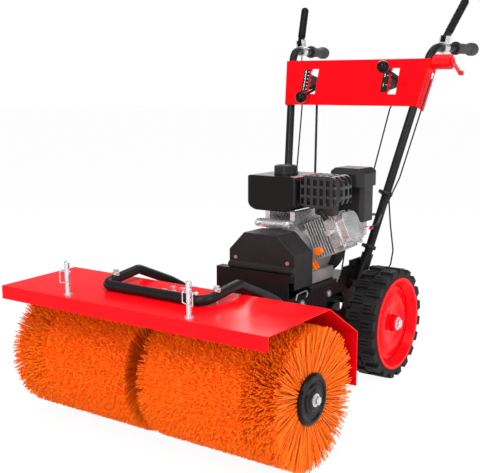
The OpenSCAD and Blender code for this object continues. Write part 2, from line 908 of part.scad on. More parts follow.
module gearbox_cover() {
  inner = gearbox_half_w - gearbox_wall;
  color("darkgray") translate([inner, 0, axis_z]) lie_x() difference() {
    rod_z(gearbox_r, gearbox_wall);
    up(-overrun) rod_z(brush_shaft_r + pin_fit, gearbox_wall + overrun * 2);
  }
}

// Drive shaft in the brush head: pinion, shaft and front fork
module pinion_shaft() {
  fork_y = swivel_y - fork_back;
  color("gray") difference() {
    union() {
      up(axis_z) rotate([-90, 0, 0]) bevel(90 - bevel_cone, pinion_teeth, 0, pinion_back, 0);
      translate([0, pinion_back - overrun, axis_z]) rod_y(shaft_r, fork_y - pinion_back + overrun * 2);
      translate([0, fork_y, axis_z]) rod_y(fork_r, fork_base_t);
      for (s = [-1, 1]) up(axis_z) {
        translate([-ear_half_w, fork_y, s > 0 ? ear_in : -ear_in - ear_t])
          cube([ear_half_w * 2, fork_back + fork_reach, ear_t]);
        translate([0, swivel_y, s * ear_in / 2])
          cylinder(r = joint_pin_r, h = ear_in + overrun, center = true);
      }
    }
    translate([0, swivel_y, axis_z]) sphere(r = joint_ball_r + run_gap);
  }
}

module torque_tube() {
  color("black") translate([0, neck_end + seat_gap, axis_z]) rotate([-90, 0, 0])
    linear_extrude(swivel_plate_y - neck_end - seat_gap * 2) ring(torque_r, torque_r - torque_wall);
}

// Swivel: lugs of the head close over the lugs of the front plate
module lug(z, from_y, to_y) {
  up(z) linear_extrude(lug_t) {
    translate([0, swivel_y]) circle(lug_r);
    translate([-lug_r, min(from_y, to_y)]) square([lug_r * 2, abs(to_y - from_y)]);
  }
}

module swivel_bracket() {
  back = swivel_plate_y + plate_big_t;
  low = axis_z - swivel_half_h - lug_t;
  high = axis_z + swivel_half_h + lug_t;
  color("black") difference() {
    union() {
      translate([-swivel_plate_half_w, swivel_plate_y, swivel_wing_bottom])
        cube([swivel_plate_half_w * 2, plate_big_t, swivel_wing_top - swivel_wing_bottom]);
      translate([-swivel_core_half_w, swivel_plate_y, low])
        cube([swivel_core_half_w * 2, plate_big_t, high - low]);
      lug(low, back - overrun, swivel_y);
      lug(high - lug_t, back - overrun, swivel_y);
    }
    translate([0, swivel_y, low - overrun]) rod_z(kingpin_r + pin_fit, high - low + overrun * 2);
    translate([0, swivel_plate_y - overrun, axis_z]) rod_y(shaft_r + pin_fit, plate_big_t + overrun * 2);
    for (x = [-yoke_half_w, yoke_half_w], z = yoke_leg_bolts)
      translate([x, swivel_plate_y - overrun, z])
        rod_y(yoke_bolt_r + seat_gap, plate_big_t + overrun * 2);
  }
}

module kingpins() {
  l = lug_t * 2 + run_gap * 2;
  color("silver") for (s = [-1, 1])
    translate([0, swivel_y, axis_z + s * (swivel_half_h - run_gap - lug_t)])
      mirror([0, 0, s > 0 ? 0 : 1]) {
        rod_z(kingpin_r, l);
        up(l) cylinder(r = kingpin_head_r, h = kingpin_head_t, $fn = 6);
      }
}

module front_plate() {
  low = axis_z - swivel_half_h + run_gap;
  high = axis_z + swivel_half_h - run_gap - lug_t;
  color("black") difference() {
    union() {
      translate([-frame_half_w, front_plate_y, frame_bottom])
        cube([frame_half_w * 2, plate_t, front_plate_top - frame_bottom]);
      translate([-swivel_core_half_w, front_plate_y, low])
        cube([swivel_core_half_w * 2, plate_t, frame_bottom]);
      translate([-frame_half_w, front_plate_y, front_plate_top - front_flange_t])
        cube([frame_half_w * 2, front_flange_d, front_flange_t]);
      lug(low, swivel_y, front_plate_y + plate_t / 2);
      lug(high, swivel_y, front_plate_y + plate_t / 2);
    }
    translate([0, swivel_y, frame_bottom - lug_r * 2]) rod_z(kingpin_r + pin_fit, swivel_half_h * 3);
    translate([0, front_plate_y - overrun, axis_z]) rod_y(shaft_hole_r, plate_t + overrun * 2);
  }
}

// Chassis: two side plates with a deck, a cross plate and a rear plate between them
module chassis_frame() {
  y0 = front_plate_y + plate_t + seat_gap;
  l = frame_rear - y0;
  h = deck_z - frame_bottom;
  inside = frame_half_w - plate_t;
  color("black") difference() {
    union() {
      both_sides() translate([inside + plate_t / 2, 0, 0]) bar_x(plate_t)
        polygon([for (p = side_shares) [y0 + p[0] * l, frame_bottom + p[1] * h]]);
      translate([-inside - plate_t / 2, deck_y, deck_z - plate_t])
        cube([inside * 2 + plate_t, frame_rear - deck_y, plate_t]);
      translate([plunger_x, plunger_y, deck_z - plate_t / 2]) rod_z(bush_r, bush_h);
      translate([-inside - plate_t / 2, cross_y, frame_bottom])
        cube([inside * 2 + plate_t, plate_t, deck_z - plate_t / 2 - frame_bottom]);
      translate([-inside - plate_t / 2, frame_rear - plate_t, rear_plate_bottom])
        cube([inside * 2 + plate_t, plate_t, deck_z - plate_t / 2 - rear_plate_bottom]);
    }
    translate([0, cross_y - overrun, axis_z]) rod_y(shaft_hole_r, plate_t + overrun * 2);
    translate([0, axle_y, axle_z]) rod_x(axle_hole_r, frame_half_w * 3);
    bar_x(frame_half_w * 3) translate([side_window_y, side_window_z])
      round_rect(side_window_w, side_window_h, side_window_r);
    translate([plunger_x, plunger_y, deck_z - plate_t * 2]) rod_z(plunger_r + pin_fit, bush_h * 2);
  }
}

// Drive shaft of the chassis: rear fork, the joint's ball and the long shaft
module drive_shaft() {
  fork_y = swivel_y + fork_back - fork_base_t;
  color("gray") up(axis_z) {
    translate([0, swivel_y, 0]) rotate(90) sphere(r = joint_ball_r);
    translate([0, swivel_y, 0]) rod_x(joint_pin_r, ear_in * 2 + ear_t);
    for (s = [-1, 1]) translate([s > 0 ? ear_in : -ear_in - ear_t, swivel_y - fork_reach, -ear_half_w])
      cube([ear_t, fork_back + fork_reach, ear_half_w * 2]);
    translate([0, fork_y, 0]) rod_y(fork_r, fork_base_t);
    translate([0, fork_y, 0]) rod_y(shaft_r, shaft_end_y - fork_y);
  }
}

// A V-belt pulley about Y, centred on the belt
module pulley(r, bore) {
  w = pulley_w / 2;
  g = belt_w / 2 + run_gap;
  rotate([-90, 0, 0]) rotate_extrude()
    polygon([[bore, -w], [r, -w], [r, -g], [r - groove_depth, -g], [r - groove_depth, g],
             [r, g], [r, w], [bore, w]]);
}

module drive_pulley() {
  color("gray") translate([0, belt_y, axis_z]) pulley(drive_pulley_r, shaft_r + seat_gap);
}

module crank_pulley() {
  color("gray") {
    translate([crank_x, belt_y, crank_z]) pulley(crank_pulley_r, shaft_r - seat_gap);
    translate([crank_x, crank_shaft_front, crank_z]) rod_y(shaft_r, crank_shaft_back - crank_shaft_front);
  }
}

// The belt: an arc round each pulley and two straight runs between them
module drive_belt() {
  at = [[crank_x, crank_z], [0, axis_z]];
  r = [for (p = [crank_pulley_r, drive_pulley_r]) p - groove_depth + belt_gap];
  way = unit(at[1] - at[0]);
  open = acos((r[0] - r[1]) / norm(at[1] - at[0]));
  out = [for (s = [1, -1]) way * cos(open) + s * sin(open) * [-way.y, way.x]];
  mid = [for (s = [0, 1], i = s == 0 ? [0, 1] : [1, 0]) at[i] + out[s] * (r[i] + belt_t / 2)];
  color("black") translate([0, belt_y - belt_w / 2, 0]) bar_y(belt_w) {
    difference() {
      for (i = [0, 1]) translate(at[i]) ring(r[i] + belt_t - belt_seam, r[i] + belt_seam);
      polygon(mid);
    }
    for (s = [0, 1]) {
      lap = unit(mid[s * 2 + 1] - mid[s * 2]) * belt_lap;
      half = out[s] * belt_t / 2;
      polygon([mid[s * 2] - lap - half, mid[s * 2 + 1] + lap - half,
               mid[s * 2 + 1] + lap + half, mid[s * 2] - lap + half]);
    }
  }
}

// Flanged bearings of the drive shaft and of the axle
module bearings() {
  color("gray") for (y = [front_plate_y + plate_t + seat_gap, cross_y + plate_t + seat_gap])
    translate([0, y, axis_z]) difference() {
      union() {
        rod_y(bearing_r, bearing_l / 3);
        rod_y(bearing_hub_r, bearing_l);
      }
      translate([0, -overrun, 0]) rod_y(shaft_r + pin_fit, bearing_l + overrun * 2);
    }
  color("gray") both_sides() translate([frame_half_w + seat_gap, axle_y, axle_z]) lie_x() difference() {
    union() {
      rod_z(axle_bearing_r, axle_bearing_l / 3);
      rod_z(axle_bearing_r * 2 / 3, axle_bearing_l);
      up(-plate_t - seat_gap) rod_z(axle_hole_r - seat_gap, plate_t + seat_gap * 2);
    }
    up(-axle_bearing_l) rod_z(axle_r + pin_fit, axle_bearing_l * 3);
  }
}

// Idler on its arm, carried by a pin on the front plate
module idler_arm() {
  arm_y = belt_y - belt_w / 2 - pulley_side - idler_arm_t;
  pin_y = front_plate_y + plate_t + run_gap;
  color("gray") {
    translate([idler_pivot_x, pin_y, idler_pivot_z]) rod_y(idler_pin_r, arm_y - pin_y + idler_arm_t);
    translate([idler_pivot_x, arm_y, idler_pivot_z]) rod_y(idler_hub_r, idler_arm_t);
    translate([idler_x, arm_y, idler_z]) rod_y(idler_hub_r, idler_arm_t);
    translate([0, arm_y, 0]) bar_y(idler_arm_t)
      polygon([[idler_pivot_x - idler_hub_r, idler_pivot_z], [idler_pivot_x + idler_hub_r, idler_pivot_z],
               [idler_x + idler_hub_r, idler_z], [idler_x - idler_hub_r, idler_z]]);
    translate([idler_x, arm_y, idler_z]) rod_y(idler_pin_r, pulley_side + idler_arm_t + belt_w);
    translate([idler_x, belt_y - belt_w / 2, idler_z]) rod_y(idler_r, belt_w);
  }
}

// Belt cover: folded roof, front face and a seated lip
cover_roof = [[cover_left, front_plate_top + seat_gap], [cover_left, cover_shoulder],
              [cover_ridge_left, cover_top], [cover_ridge_right, cover_top],
              [cover_right, cover_shoulder], [cover_right, cover_side_bottom]];

cover_screw_x = [cover_left + cover_screw_inset, cover_right - cover_screw_inset];

module belt_cover() {
  base = front_plate_top + seat_gap;
  color("dimgray") difference() {
    union() {
      translate([0, cover_y, 0]) bar_y(cover_depth) polygon(sheet(cover_roof, cover_t));
      translate([0, cover_y, 0]) bar_y(cover_t)
        polygon(concat([for (i = [0:4]) cover_roof[i]], [[cover_right, base]]));
      translate([(cover_left + cover_right) / 2, cover_y, base + cover_lip_r])
        rod_x(cover_lip_r, cover_right - cover_left);
    }
    for (x = cover_screw_x)
      translate([x, cover_y - overrun, cover_screw_z])
        rod_y(cover_screw_r / 2 + seat_gap, cover_t + overrun * 2);
  }
}

// Screws of the belt cover, dome bolts of the side plates and the wire latch
module chassis_screws() {
  color("silver") for (x = cover_screw_x)
    translate([x, cover_y - seat_gap, cover_screw_z]) rotate([90, 0, 0])
      hex_bolt(cover_screw_r, cover_screw_t, cover_screw_r / 2, cover_t * 3);
  color("silver") for (x = [-1, 1] * (frame_half_w + seat_gap), y = [0, dome_pitch])
    translate([x, dome_first + y, dome_z])
    rotate([0, sign(x) * 90, 0]) {
      rod_z(dome_r, dome_t / 2);
      up(dome_t / 2) cylinder(r1 = dome_r * 4 / 5, r2 = dome_r / 2, h = dome_t / 2);
    }
  color("silver")
    translate([frame_half_w + latch_r + seat_gap, latch_y, latch_z])
      bent_tube([for (p = latch_shares) [0, p.x, p.y] * latch_l], latch_r * 3, latch_r);
}

// Transaxle: a ribbed closed gear case hung from a cross bar
module transaxle() {
  w = transaxle_rear - transaxle_front;
  low = axle_z - transaxle_half_h;
  inside = frame_half_w - plate_t - seat_gap;
  color("gray") difference() {
    union() {
      bar_x(transaxle_half_w * 2) translate([transaxle_front, low])
        round_rect(w, transaxle_half_h * 2, transaxle_round);
      for (x = [-1, 0, 1] * transaxle_half_w * rib_share) translate([x, 0, 0]) bar_x(transaxle_rib_t)
        translate([transaxle_front - transaxle_rib_t, low - transaxle_rib_t])
          round_rect(w + transaxle_rib_t * 2, transaxle_half_h * 2 + transaxle_rib_t * 2,
            transaxle_round);
      translate([-inside, transaxle_front + w / 4, low + transaxle_half_h * 2])
        cube([inside * 2, w / 2, hanger_t]);
      translate([0, axle_y, axle_z]) rod_x(bearing_r, transaxle_half_w * 2 + transaxle_rib_t * 4);
    }
    translate([0, axle_y, axle_z]) rod_x(axle_r + pin_fit, frame_half_w * 3);
    translate([0, transaxle_front - transaxle_rib_t * 2, axis_z])
      rod_y(shaft_r + pin_fit, shaft_end_y - transaxle_front + transaxle_rib_t * 2 + run_gap);
  }
}

module axle_shaft() {
  color("silver") translate([0, axle_y, axle_z]) {
    rod_x(axle_r, axle_end * 2);
    both_sides() translate([wheel_out + seat_gap, 0, 0]) lie_x() {
      rod_z(hub_r - rim_t, rim_lip);
      cylinder(r = axle_r * 3 / 2, h = axle_end - wheel_out, $fn = 6);
    }
  }
}

// Pressed wheel with a barrel, a dished disc and a hub
module wheels() {
  bed = tyre_bead_r - seat_gap;
  t = rim_t;
  disc = tyre_w - dish_depth;
  color("red") both_sides() translate([wheel_in, axle_y, axle_z]) lie_x() difference() {
    union() {
      rotate_extrude()
        polygon([[bed - t, 0], [bed, 0], [bed, tyre_w], [rim_r, tyre_w], [rim_r, tyre_w + rim_lip],
                 [bed - t, tyre_w + rim_lip], [dish_r + t, disc + t], [hub_r / 2, disc + t],
                 [hub_r / 2, disc], [dish_r, disc], [bed - t, tyre_w - t]]);
      up(hub_in - wheel_in) rod_z(hub_r, wheel_out - hub_in);
    }
    up(hub_in - wheel_in - overrun) rod_z(axle_r + seat_gap, wheel_out - hub_in + overrun * 2);
  }
}

// Tyre with two staggered rows of tread bars
module tyres() {
  r = tyre_round;
  lug_w = 2 * PI * carcass_r / lug_count * lug_fill_share;
  color("black") both_sides() translate([wheel_in, axle_y, axle_z]) lie_x() difference() {
    union() {
      rotate_extrude() {
        translate([tyre_bead_r, 0]) square([carcass_r - tyre_bead_r - r, tyre_w]);
        translate([tyre_bead_r, r]) square([carcass_r - tyre_bead_r, tyre_w - 2 * r]);
        for (z = [r, tyre_w - r]) translate([carcass_r - r, z]) circle(r);
      }
      intersection() {
        linear_extrude(tyre_w) circle(tyre_r);
        for (row = [0, 1], i = [0:lug_count - 1]) rotate([0, 0, 360 / lug_count * (i + row / 2)])
          translate([carcass_r - r, -lug_w / 2, row * tyre_w * (1 - lug_len_share)])
            cube([r + lug_h + overrun, lug_w, tyre_w * lug_len_share]);
      }
    }
    up(-overrun) rod_z(tyre_bead_r, tyre_w + overrun * 2);
  }
}

// Engine. Children of on_cylinder are drawn with +X along the leaning cylinder.
module on_cylinder() {
  translate([crank_x, cylinder_y, crank_z]) rotate([0, -cylinder_lean, 0]) children();
}

module at_dipstick() { along([dip_x, dip_y, dip_z], [sin(dip_lean), 0, cos(dip_lean)]) children(); }

module engine_block() {
  color("silver") difference() {
    union() {
      translate([crank_x, case_y, crank_z]) rod_y(case_r, case_l);
      translate([crank_x - case_base_w / 2, case_y, deck_z]) cube([case_base_w, case_l, case_base_h]);
      translate([crank_x - case_foot_w / 2, case_y, deck_z]) cube([case_foot_w, case_l, case_foot_t]);
      translate([crank_x, case_y - case_boss_l, crank_z]) rod_y(case_boss_r, case_boss_l * 2);
      for (a = [0:60:300])
        translate([crank_x, case_y - case_rib_d, crank_z] + case_bolt_ring * [cos(a), 0, sin(a)])
          rod_y(case_bolt_r, case_boss_l);
      on_cylinder() {
        translate([cylinder_from, -fin_w * barrel_share / 2, -cylinder_core / 2])
          cube([cylinder_to - cylinder_from, fin_w * barrel_share, cylinder_core]);
        for (i = [0:fin_count - 1])
          translate([cylinder_to - fin_t - i * fin_pitch, -fin_w / 2, -fin_h / 2])
            cube([fin_t, fin_w, fin_h]);
      }
      at_dipstick()
        up(-dip_boss_l) rod_z(dip_boss_r, dip_boss_l * 2);
    }
    translate([crank_x, case_y - case_boss_l - overrun, crank_z])
      rod_y(shaft_r + pin_fit, crank_shaft_back - case_y + case_boss_l + overrun + run_gap);
    at_dipstick()
      up(-dip_boss_l) rod_z(dip_rod_r + run_gap, dip_boss_l * 3);
  }
}

module cylinder_head() {
  from = cylinder_to + seat_gap;
  core = cylinder_core + fin_t * 2;
  color("silver") on_cylinder() {
    translate([from, -fin_w / 2, -core / 2]) cube([head_l, fin_w, core]);
    for (i = [0:head_fin_count - 1])
      translate([from, (i - (head_fin_count - 1) / 2) * head_fin_pitch - fin_t / 2, -fin_h / 2])
        cube([head_l, fin_t, fin_h]);
    translate([from + head_l, -rocker_w / 2, -rocker_h / 2]) rotate([90, 0, 90]) {
      linear_extrude(rocker_flange_t) round_rect(rocker_w, rocker_h, rocker_round);
      translate([rocker_flange_t, rocker_flange_t]) linear_extrude(rocker_l)
        round_rect(rocker_w - rocker_flange_t * 2, rocker_h - rocker_flange_t * 2, rocker_round);
    }
    translate([from + head_l / 2, -fin_w / 2 - plug_l / 2, fin_t]) rod_y(plug_r, plug_l);
    translate([from + head_l / 2, -fin_w / 2 - plug_l, fin_t]) rod_y(plug_cap_r, plug_l / 2);
  }
}

// A box with rounded upright edges and rounded edges along Y
module soft_box(w, d, h, side_r, top_r) {
  intersection() {
    linear_extrude(h) round_rect(w, d, side_r);
    bar_y(d) round_rect(w, h, top_r);
  }
}

module fuel_tank() {
  r = tank_round;
  color("black") translate([tank_x, tank_y, tank_z]) {
    intersection() {
      linear_extrude(tank_h) round_rect(tank_w, tank_d, r);
      bar_y(tank_d) union() {
        translate([0, tank_belly_round]) square([tank_w, tank_h - tank_belly_round - r]);
        translate([tank_belly_round, 0]) square([tank_w - tank_belly_round * 2, tank_h]);
        for (x = [tank_belly_round, tank_w - tank_belly_round]) translate([x, tank_belly_round])
          circle(tank_belly_round);
        for (x = [r, tank_w - r]) translate([x, tank_h - r]) circle(r);
        translate([r, tank_h - r * 2]) square([tank_w - r * 2, r * 2]);
      }
    }
    translate([cap_x - tank_x, cap_y - tank_y, tank_h - r / 2]) rod_z(neck_ring_r, neck_ring_h + r / 2);
  }
}

module fuel_cap() {
  top = tank_z + tank_h;
  color("black") translate([cap_x, cap_y, top + run_gap]) difference() {
    union() {
      rod_z(cap_r - cap_grip_r, cap_h);
      rod_z(cap_r, cap_h * cap_shares[0]);
      for (i = [0:cap_grips - 1]) rotate(360 / cap_grips * i)
        translate([cap_r - cap_grip_r, 0, 0]) rod_z(cap_grip_r, cap_h * cap_shares[1]);
    }
    up(-overrun) rod_z(neck_ring_r + pin_fit, neck_ring_h + overrun + run_gap);
    up(cap_h * cap_shares[1]) difference() {
      rod_z(cap_r * cap_shares[2], cap_h);
      rod_z(cap_r * cap_shares[3], cap_h);
    }
  }
}

// Steel stays that carry the tank on the crankcase, with a cross bar in front
module tank_bracket() {
  from = stay_y + stay_bar_r / 2;
  color("silver") difference() {
    union() {
      for (x = [-stay_gap / 2, stay_gap / 2]) translate([crank_x + x - stay_w, from, crank_z])
        cube([stay_w, case_y + case_l - stay_w - from, tank_z - seat_gap - crank_z]);
      translate([crank_x - stay_w, stay_y, stay_z]) rod_x(stay_bar_r, stay_gap + stay_w * 2);
    }
    translate([crank_x, 0, crank_z]) rod_y(case_r + seat_gap, frame_rear);
    translate([crank_x - stay_gap, stay_y - overrun, 0])
      cube([stay_gap * 2, case_y - stay_y + overrun, stay_z - stay_bar_r]);
  }
}

module muffler() {
  m = guard_t + muffler_gap;
  bottom = guard_z + m;
  color("black") difference() {
    union() {
      translate([guard_x + m, guard_y + m, bottom])
        soft_box(guard_w - m * 2, guard_d - m * 2, guard_h - m * 2, m, guard_round - m);
      translate([guard_x + pipe_in, guard_y + guard_d - m - pipe_r, crank_z + fin_h])
        rod_z(pipe_r, bottom - crank_z - fin_h + m);
    }
    on_cylinder() translate([0, -fin_w, -fin_h * 2 + fin_h / 2 + seat_gap])
      cube([fin_h * 4, fin_w * 2, fin_h * 2]);
  }
}

// Guard: a rounded cage of bars round the muffler, open below
module muffler_guard() {
  t = guard_t;
  cell = (guard_w - guard_bar) / guard_cols;
  row = (guard_h - guard_bar) / guard_rows;
  deep = (guard_d - guard_bar) / guard_rows;
  color("black") translate([guard_x, guard_y, guard_z]) difference() {
    soft_box(guard_w, guard_d, guard_h, t * 4, guard_round);
    translate([t, t, -t]) soft_box(guard_w - t * 2, guard_d, guard_h, t * 3, guard_round - t);
    for (i = [0:guard_cols - 1], j = [0:guard_rows - 1]) {
      translate([guard_bar + i * cell, -overrun, guard_bar + j * row])
        cube([cell - guard_bar, guard_d / 2, row - guard_bar]);
      translate([guard_bar + i * cell, guard_bar + j * deep, guard_h / 2])
        cube([cell - guard_bar, deep - guard_bar, guard_h]);
    }
    for (i = [0:guard_rows - 1], j = [0:guard_rows - 1])
      translate([guard_w / 2, guard_bar + i * deep, guard_bar + j * row])
        cube([guard_w, deep - guard_bar, row - guard_bar]);
  }
}

module air_cleaner() {
  i = cleaner_inset;
  color("black") translate([cleaner_x, cleaner_y, 0]) {
    translate([i, cleaner_d - cleaner_body_d - i, cleaner_bottom])
      linear_extrude(cleaner_split - cleaner_bottom + overrun)
        round_rect(cleaner_w - i * 2, cleaner_body_d, cleaner_round - i);
    up(cleaner_split) difference() {
      linear_extrude(cleaner_top - cleaner_split) round_rect(cleaner_w, cleaner_d, cleaner_round);
      for (m = [0, 1]) translate([m * cleaner_w, 0, cleaner_top - cleaner_split]) mirror([m, 0, 0])
        rotate([0, 45, 0]) cube([cleaner_round, cleaner_d * 3, cleaner_round], center = true);
      for (m = [0, 1]) translate([0, m * cleaner_d, cleaner_top - cleaner_split])
        rotate([45, 0, 0]) cube([cleaner_w * 3, cleaner_round, cleaner_round], center = true);
    }
  }
}

module carburettor() {
  color("gray") translate([carb_x, carb_y, cleaner_bottom - seat_gap - carb_h]) {
    cube([carb_w, carb_d, carb_h]);
    translate([carb_w / 2, carb_d / 2, -carb_bowl_h]) rod_z(carb_bowl_r, carb_bowl_h + overrun);
    translate([carb_w / 2, carb_d, carb_h / 2]) rod_y(choke_r / 2, choke_t + run_gap * 2);
  }
}

module choke_lever() {
  color("gray")
    translate([carb_x + carb_w / 2, carb_y + carb_d + run_gap, cleaner_bottom - seat_gap - carb_h / 2])
      difference() {
    union() {
      rod_y(choke_r, choke_t);
      up(-choke_r / 2) cube([choke_l, choke_t, choke_r]);
      translate([choke_l, 0, 0]) rod_y(choke_r * 2 / 3, choke_t * 3);
    }
    translate([0, -overrun, 0]) rod_y(choke_r / 2 + pin_fit, choke_t + overrun * 2);
  }
}

rope_way = [-sin(rope_turn), 0, cos(rope_turn)];
rope_y = case_y + case_l + seat_gap + fan_l + recoil_l / 2;

module recoil_starter() {
  y = case_y + case_l + seat_gap;
  color("dimgray") difference() {
    union() {
      translate([crank_x, y, crank_z]) rod_y(fan_r, fan_l);
      translate([crank_x, y, crank_z]) cube([fan_duct_w, fan_l, fan_duct_top - crank_z]);
      translate([crank_x, y + fan_l - overrun, crank_z]) rod_y(recoil_r, recoil_l + overrun);
    }
    for (i = [0:recoil_slots - 1]) translate([crank_x, y + fan_l + recoil_l / 2 + rope_r * 3, crank_z])
      rotate([0, 360 / recoil_slots * i, 0]) translate([recoil_slot_in, 0, -recoil_slot_w / 2])
        cube([recoil_slot_out - recoil_slot_in, recoil_l, recoil_slot_w]);
    along([rope_x, rope_y, rope_z] - rope_way * rope_in, rope_way) rod_z(rope_r + run_gap, rope_in * 2);
    along([rope_x, rope_y, rope_z], rope_way) translate([-pull_w, -pull_w, 0])
      cube([pull_w * 2, pull_w * 2, pull_w * 2]);
  }
}

module starter_grip() {
  color("black") along([rope_x, rope_y, rope_z], rope_way) {
    up(-rope_in + run_gap) rod_z(rope_r, rope_in);
    up(run_gap) cylinder(r1 = pull_t / 3, r2 = pull_t / 2, h = pull_h / 2);
    translate([0, pull_w / 2, pull_h / 2 + pull_t / 3]) rotate([90, 0, 0]) rod_z(pull_t / 2, pull_w);
  }
}

module dipstick() {
  color("orange") at_dipstick() {
    up(-dip_boss_l + run_gap) rod_z(dip_rod_r, dip_boss_l * 2 + overrun);
    up(dip_boss_l + run_gap) rod_z(dip_cap_r, dip_cap_h / 2);
    translate([-dip_cap_r, -dip_wing_t / 2, dip_boss_l + run_gap])
      cube([dip_cap_r * 2, dip_wing_t, dip_cap_h]);
  }
}

// Handlebar. Children of on_panel have +X right, +Y up the slope and +Z to the front.
module on_panel() { translate([0, tube_y, panel_z]) rotate([90 - tube_lean, 0, 0]) children(); }

// Children of on_grip have +Y along the right-hand grip from the tube's corner
module on_grip() { translate(corner) rotate([0, 0, -grip_splay]) children(); }

module handle_tubes() {
  color("black") both_sides()
    bent_tube([tube_foot, corner, grip_end - grip_way * grip_end_r / 2], tube_bend_r, tube_r,
      tube_r - tube_wall);
}

// Sockets that hold the tubes' lower ends on the side plates, with their bolts
module handle_sockets() {
  out = frame_half_w + seat_gap;
  plate_z = socket_plate_z;
  color("black") both_sides() difference() {
    union() {
      along(tube_foot, tube_way) rod_z(socket_r, socket_l);
      translate([out, socket_plate_y, plate_z]) cube([socket_plate_t, socket_plate_d, socket_plate_h]);
      for (y = [bolt_share, 1 - bolt_share], z = [bolt_share, 1 - bolt_share])
        translate([out + socket_plate_t, socket_plate_y + y * socket_plate_d, plate_z + z * socket_plate_h])
          lie_x() cylinder(r = frame_bolt_r, h = frame_bolt_t, $fn = 6);
      translate([out, tube_foot.y - plate_t / 2, tube_foot.z])
        cube([tube_foot.x - out, plate_t * 3, socket_plate_h / 2]);
    }
    along(tube_foot, tube_way) up(-seat_gap) rod_z(tube_r + seat_gap, socket_l * 2);
    translate([-frame_half_w, 0, 0]) cube([frame_half_w + out, frame_rear * 2, deck_z * 2]);
  }
}

// Where a selector lever at an angle crosses the panel, measured up the slope
function slot_v(a) =
  let (dy = selector_pivot.x - tube_y, dz = selector_pivot.y - panel_z,
       v = dy * sin(tube_lean) + dz * cos(tube_lean), n = -dy * cos(tube_lean) + dz * sin(tube_lean))
  v + (panel_front - n) * tan(a - tube_lean);
slot_low = slot_v(-selector_down) - slot_margin;
slot_high = slot_v(selector_up) + slot_rise;

// Folded panel round both tubes, with a stepped slot for each selector
module control_panel() {
  front = panel_front;
  low = tube_u(0) + panel_side;
  high = tube_u(panel_h) + panel_side;
  t = panel_t / cos(atan(tube_run_share));
  step = tube_run_share * overrun;
  tooth_pitch = (slot_high - slot_low) / slot_teeth;
  color("red") on_panel() difference() {
    up(front + panel_t - panel_d) linear_extrude(panel_d)
      polygon([[-low, 0], [low, 0], [high, panel_h], [-high, panel_h]]);
    up(front - panel_d) linear_extrude(panel_d)
      polygon([[-low + t + step, -overrun], [low - t - step, -overrun],
               [high - t + step, panel_h + overrun], [-high + t - step, panel_h + overrun]]);
    for (x = [-selector_x, selector_x]) translate([x, 0, front - overrun])
      linear_extrude(panel_t + overrun * 2) {
      translate([-slot_left, slot_low]) square([slot_left + slot_right, slot_high - slot_low]);
      for (i = [0:slot_teeth - 1]) translate([-slot_left - slot_tooth, slot_low + i * tooth_pitch])
        square([slot_tooth + overrun, tooth_pitch / 2]);
    }
  }
}

module hand_grips() {
  bore = tube_r + seat_gap;
  from = handle_reach - grip_l;
  tube_l = handle_reach - grip_end_r / 2 + seat_gap;
  color("dimgray") both_sides() on_grip() rotate([-90, 0, 0]) difference() {
    union() {
      up(from) rod_z(grip_r, grip_l - grip_end_r);
      up(from) rod_z(grip_end_r, grip_end_r / 3);
      up(handle_reach - grip_end_r * 8 / 5)
        cylinder(r1 = grip_r, r2 = grip_end_r, h = grip_end_r * 4 / 5);
      up(handle_reach - grip_end_r * 4 / 5) rod_z(grip_end_r, grip_end_r * 4 / 5);
      up(handle_reach) sphere(r = grip_end_r);
    }
    up(from - overrun) rod_z(bore, tube_l - from + overrun);
    for (i = [1:grip_grooves]) up(from + grip_l * groove_share * i / grip_grooves)
      rotate_extrude() translate([grip_r + grip_groove_r / 3, 0]) circle(grip_groove_r);
  }
}

// Clutch levers stand up from brackets and press down towards the grips
module on_clutch() {
  on_grip() rotate([0, clutch_tilt, 0]) translate([0, clutch_at, clutch_rise]) children();
}

module clutch_lever() {
  groove_pitch = (clutch_l - clutch_grip_from) / (clutch_grooves + 2);
  color("black") on_clutch() rotate([clutch_angle, 0, 0]) difference() {
    union() {
      rod_x(clutch_hub_r, clutch_hub_w);
      translate([-clutch_neck_w / 2, 0, -clutch_hub_r])
        cube([clutch_neck_w, clutch_grip_from + overrun, clutch_hub_r * 2]);
      translate([0, clutch_grip_from, 0]) rod_y(clutch_r, clutch_l - clutch_grip_from - clutch_r);
      translate([0, clutch_l - clutch_r, 0]) sphere(r = clutch_r);
    }
    rod_x(clutch_pin_r + pin_fit, clutch_hub_w * 2);
    for (i = [1:clutch_grooves])
      translate([0, clutch_grip_from + groove_pitch * (i + groove_share), 0]) rotate([-90, 0, 0])
        rotate_extrude() translate([clutch_r + groove_r / 2, 0]) circle(groove_r);
  }
}

module clutch_lever_left() { mirror([1, 0, 0]) clutch_lever(); }

module clutch_lever_right() { clutch_lever(); }

// Brackets clamped round the tubes, with the fixed pins of the clutch levers
module lever_brackets() {
  gap = clutch_hub_w / 2 + run_gap;
  wide = (gap + cheek_t) * 2;
  color("silver") both_sides() on_grip() rotate([0, clutch_tilt, 0]) {
    difference() {
      translate([0, clutch_at - clamp_l / 2, 0]) {
        rod_y(clamp_ring_r, clamp_l);
        translate([-wide / 2, 0, 0]) cube([wide, clamp_l, clutch_rise + clutch_hub_r]);
      }
      rod_y(tube_r + seat_gap, clutch_at * 2);
      translate([-gap, clutch_at - clamp_l, clutch_rise - clutch_hub_r - run_gap])
        cube([gap * 2, clamp_l * 2, clutch_rise * 2]);
    }
    translate([0, clutch_at, clutch_rise]) rod_x(clutch_pin_r, wide + cheek_t);
  }
}

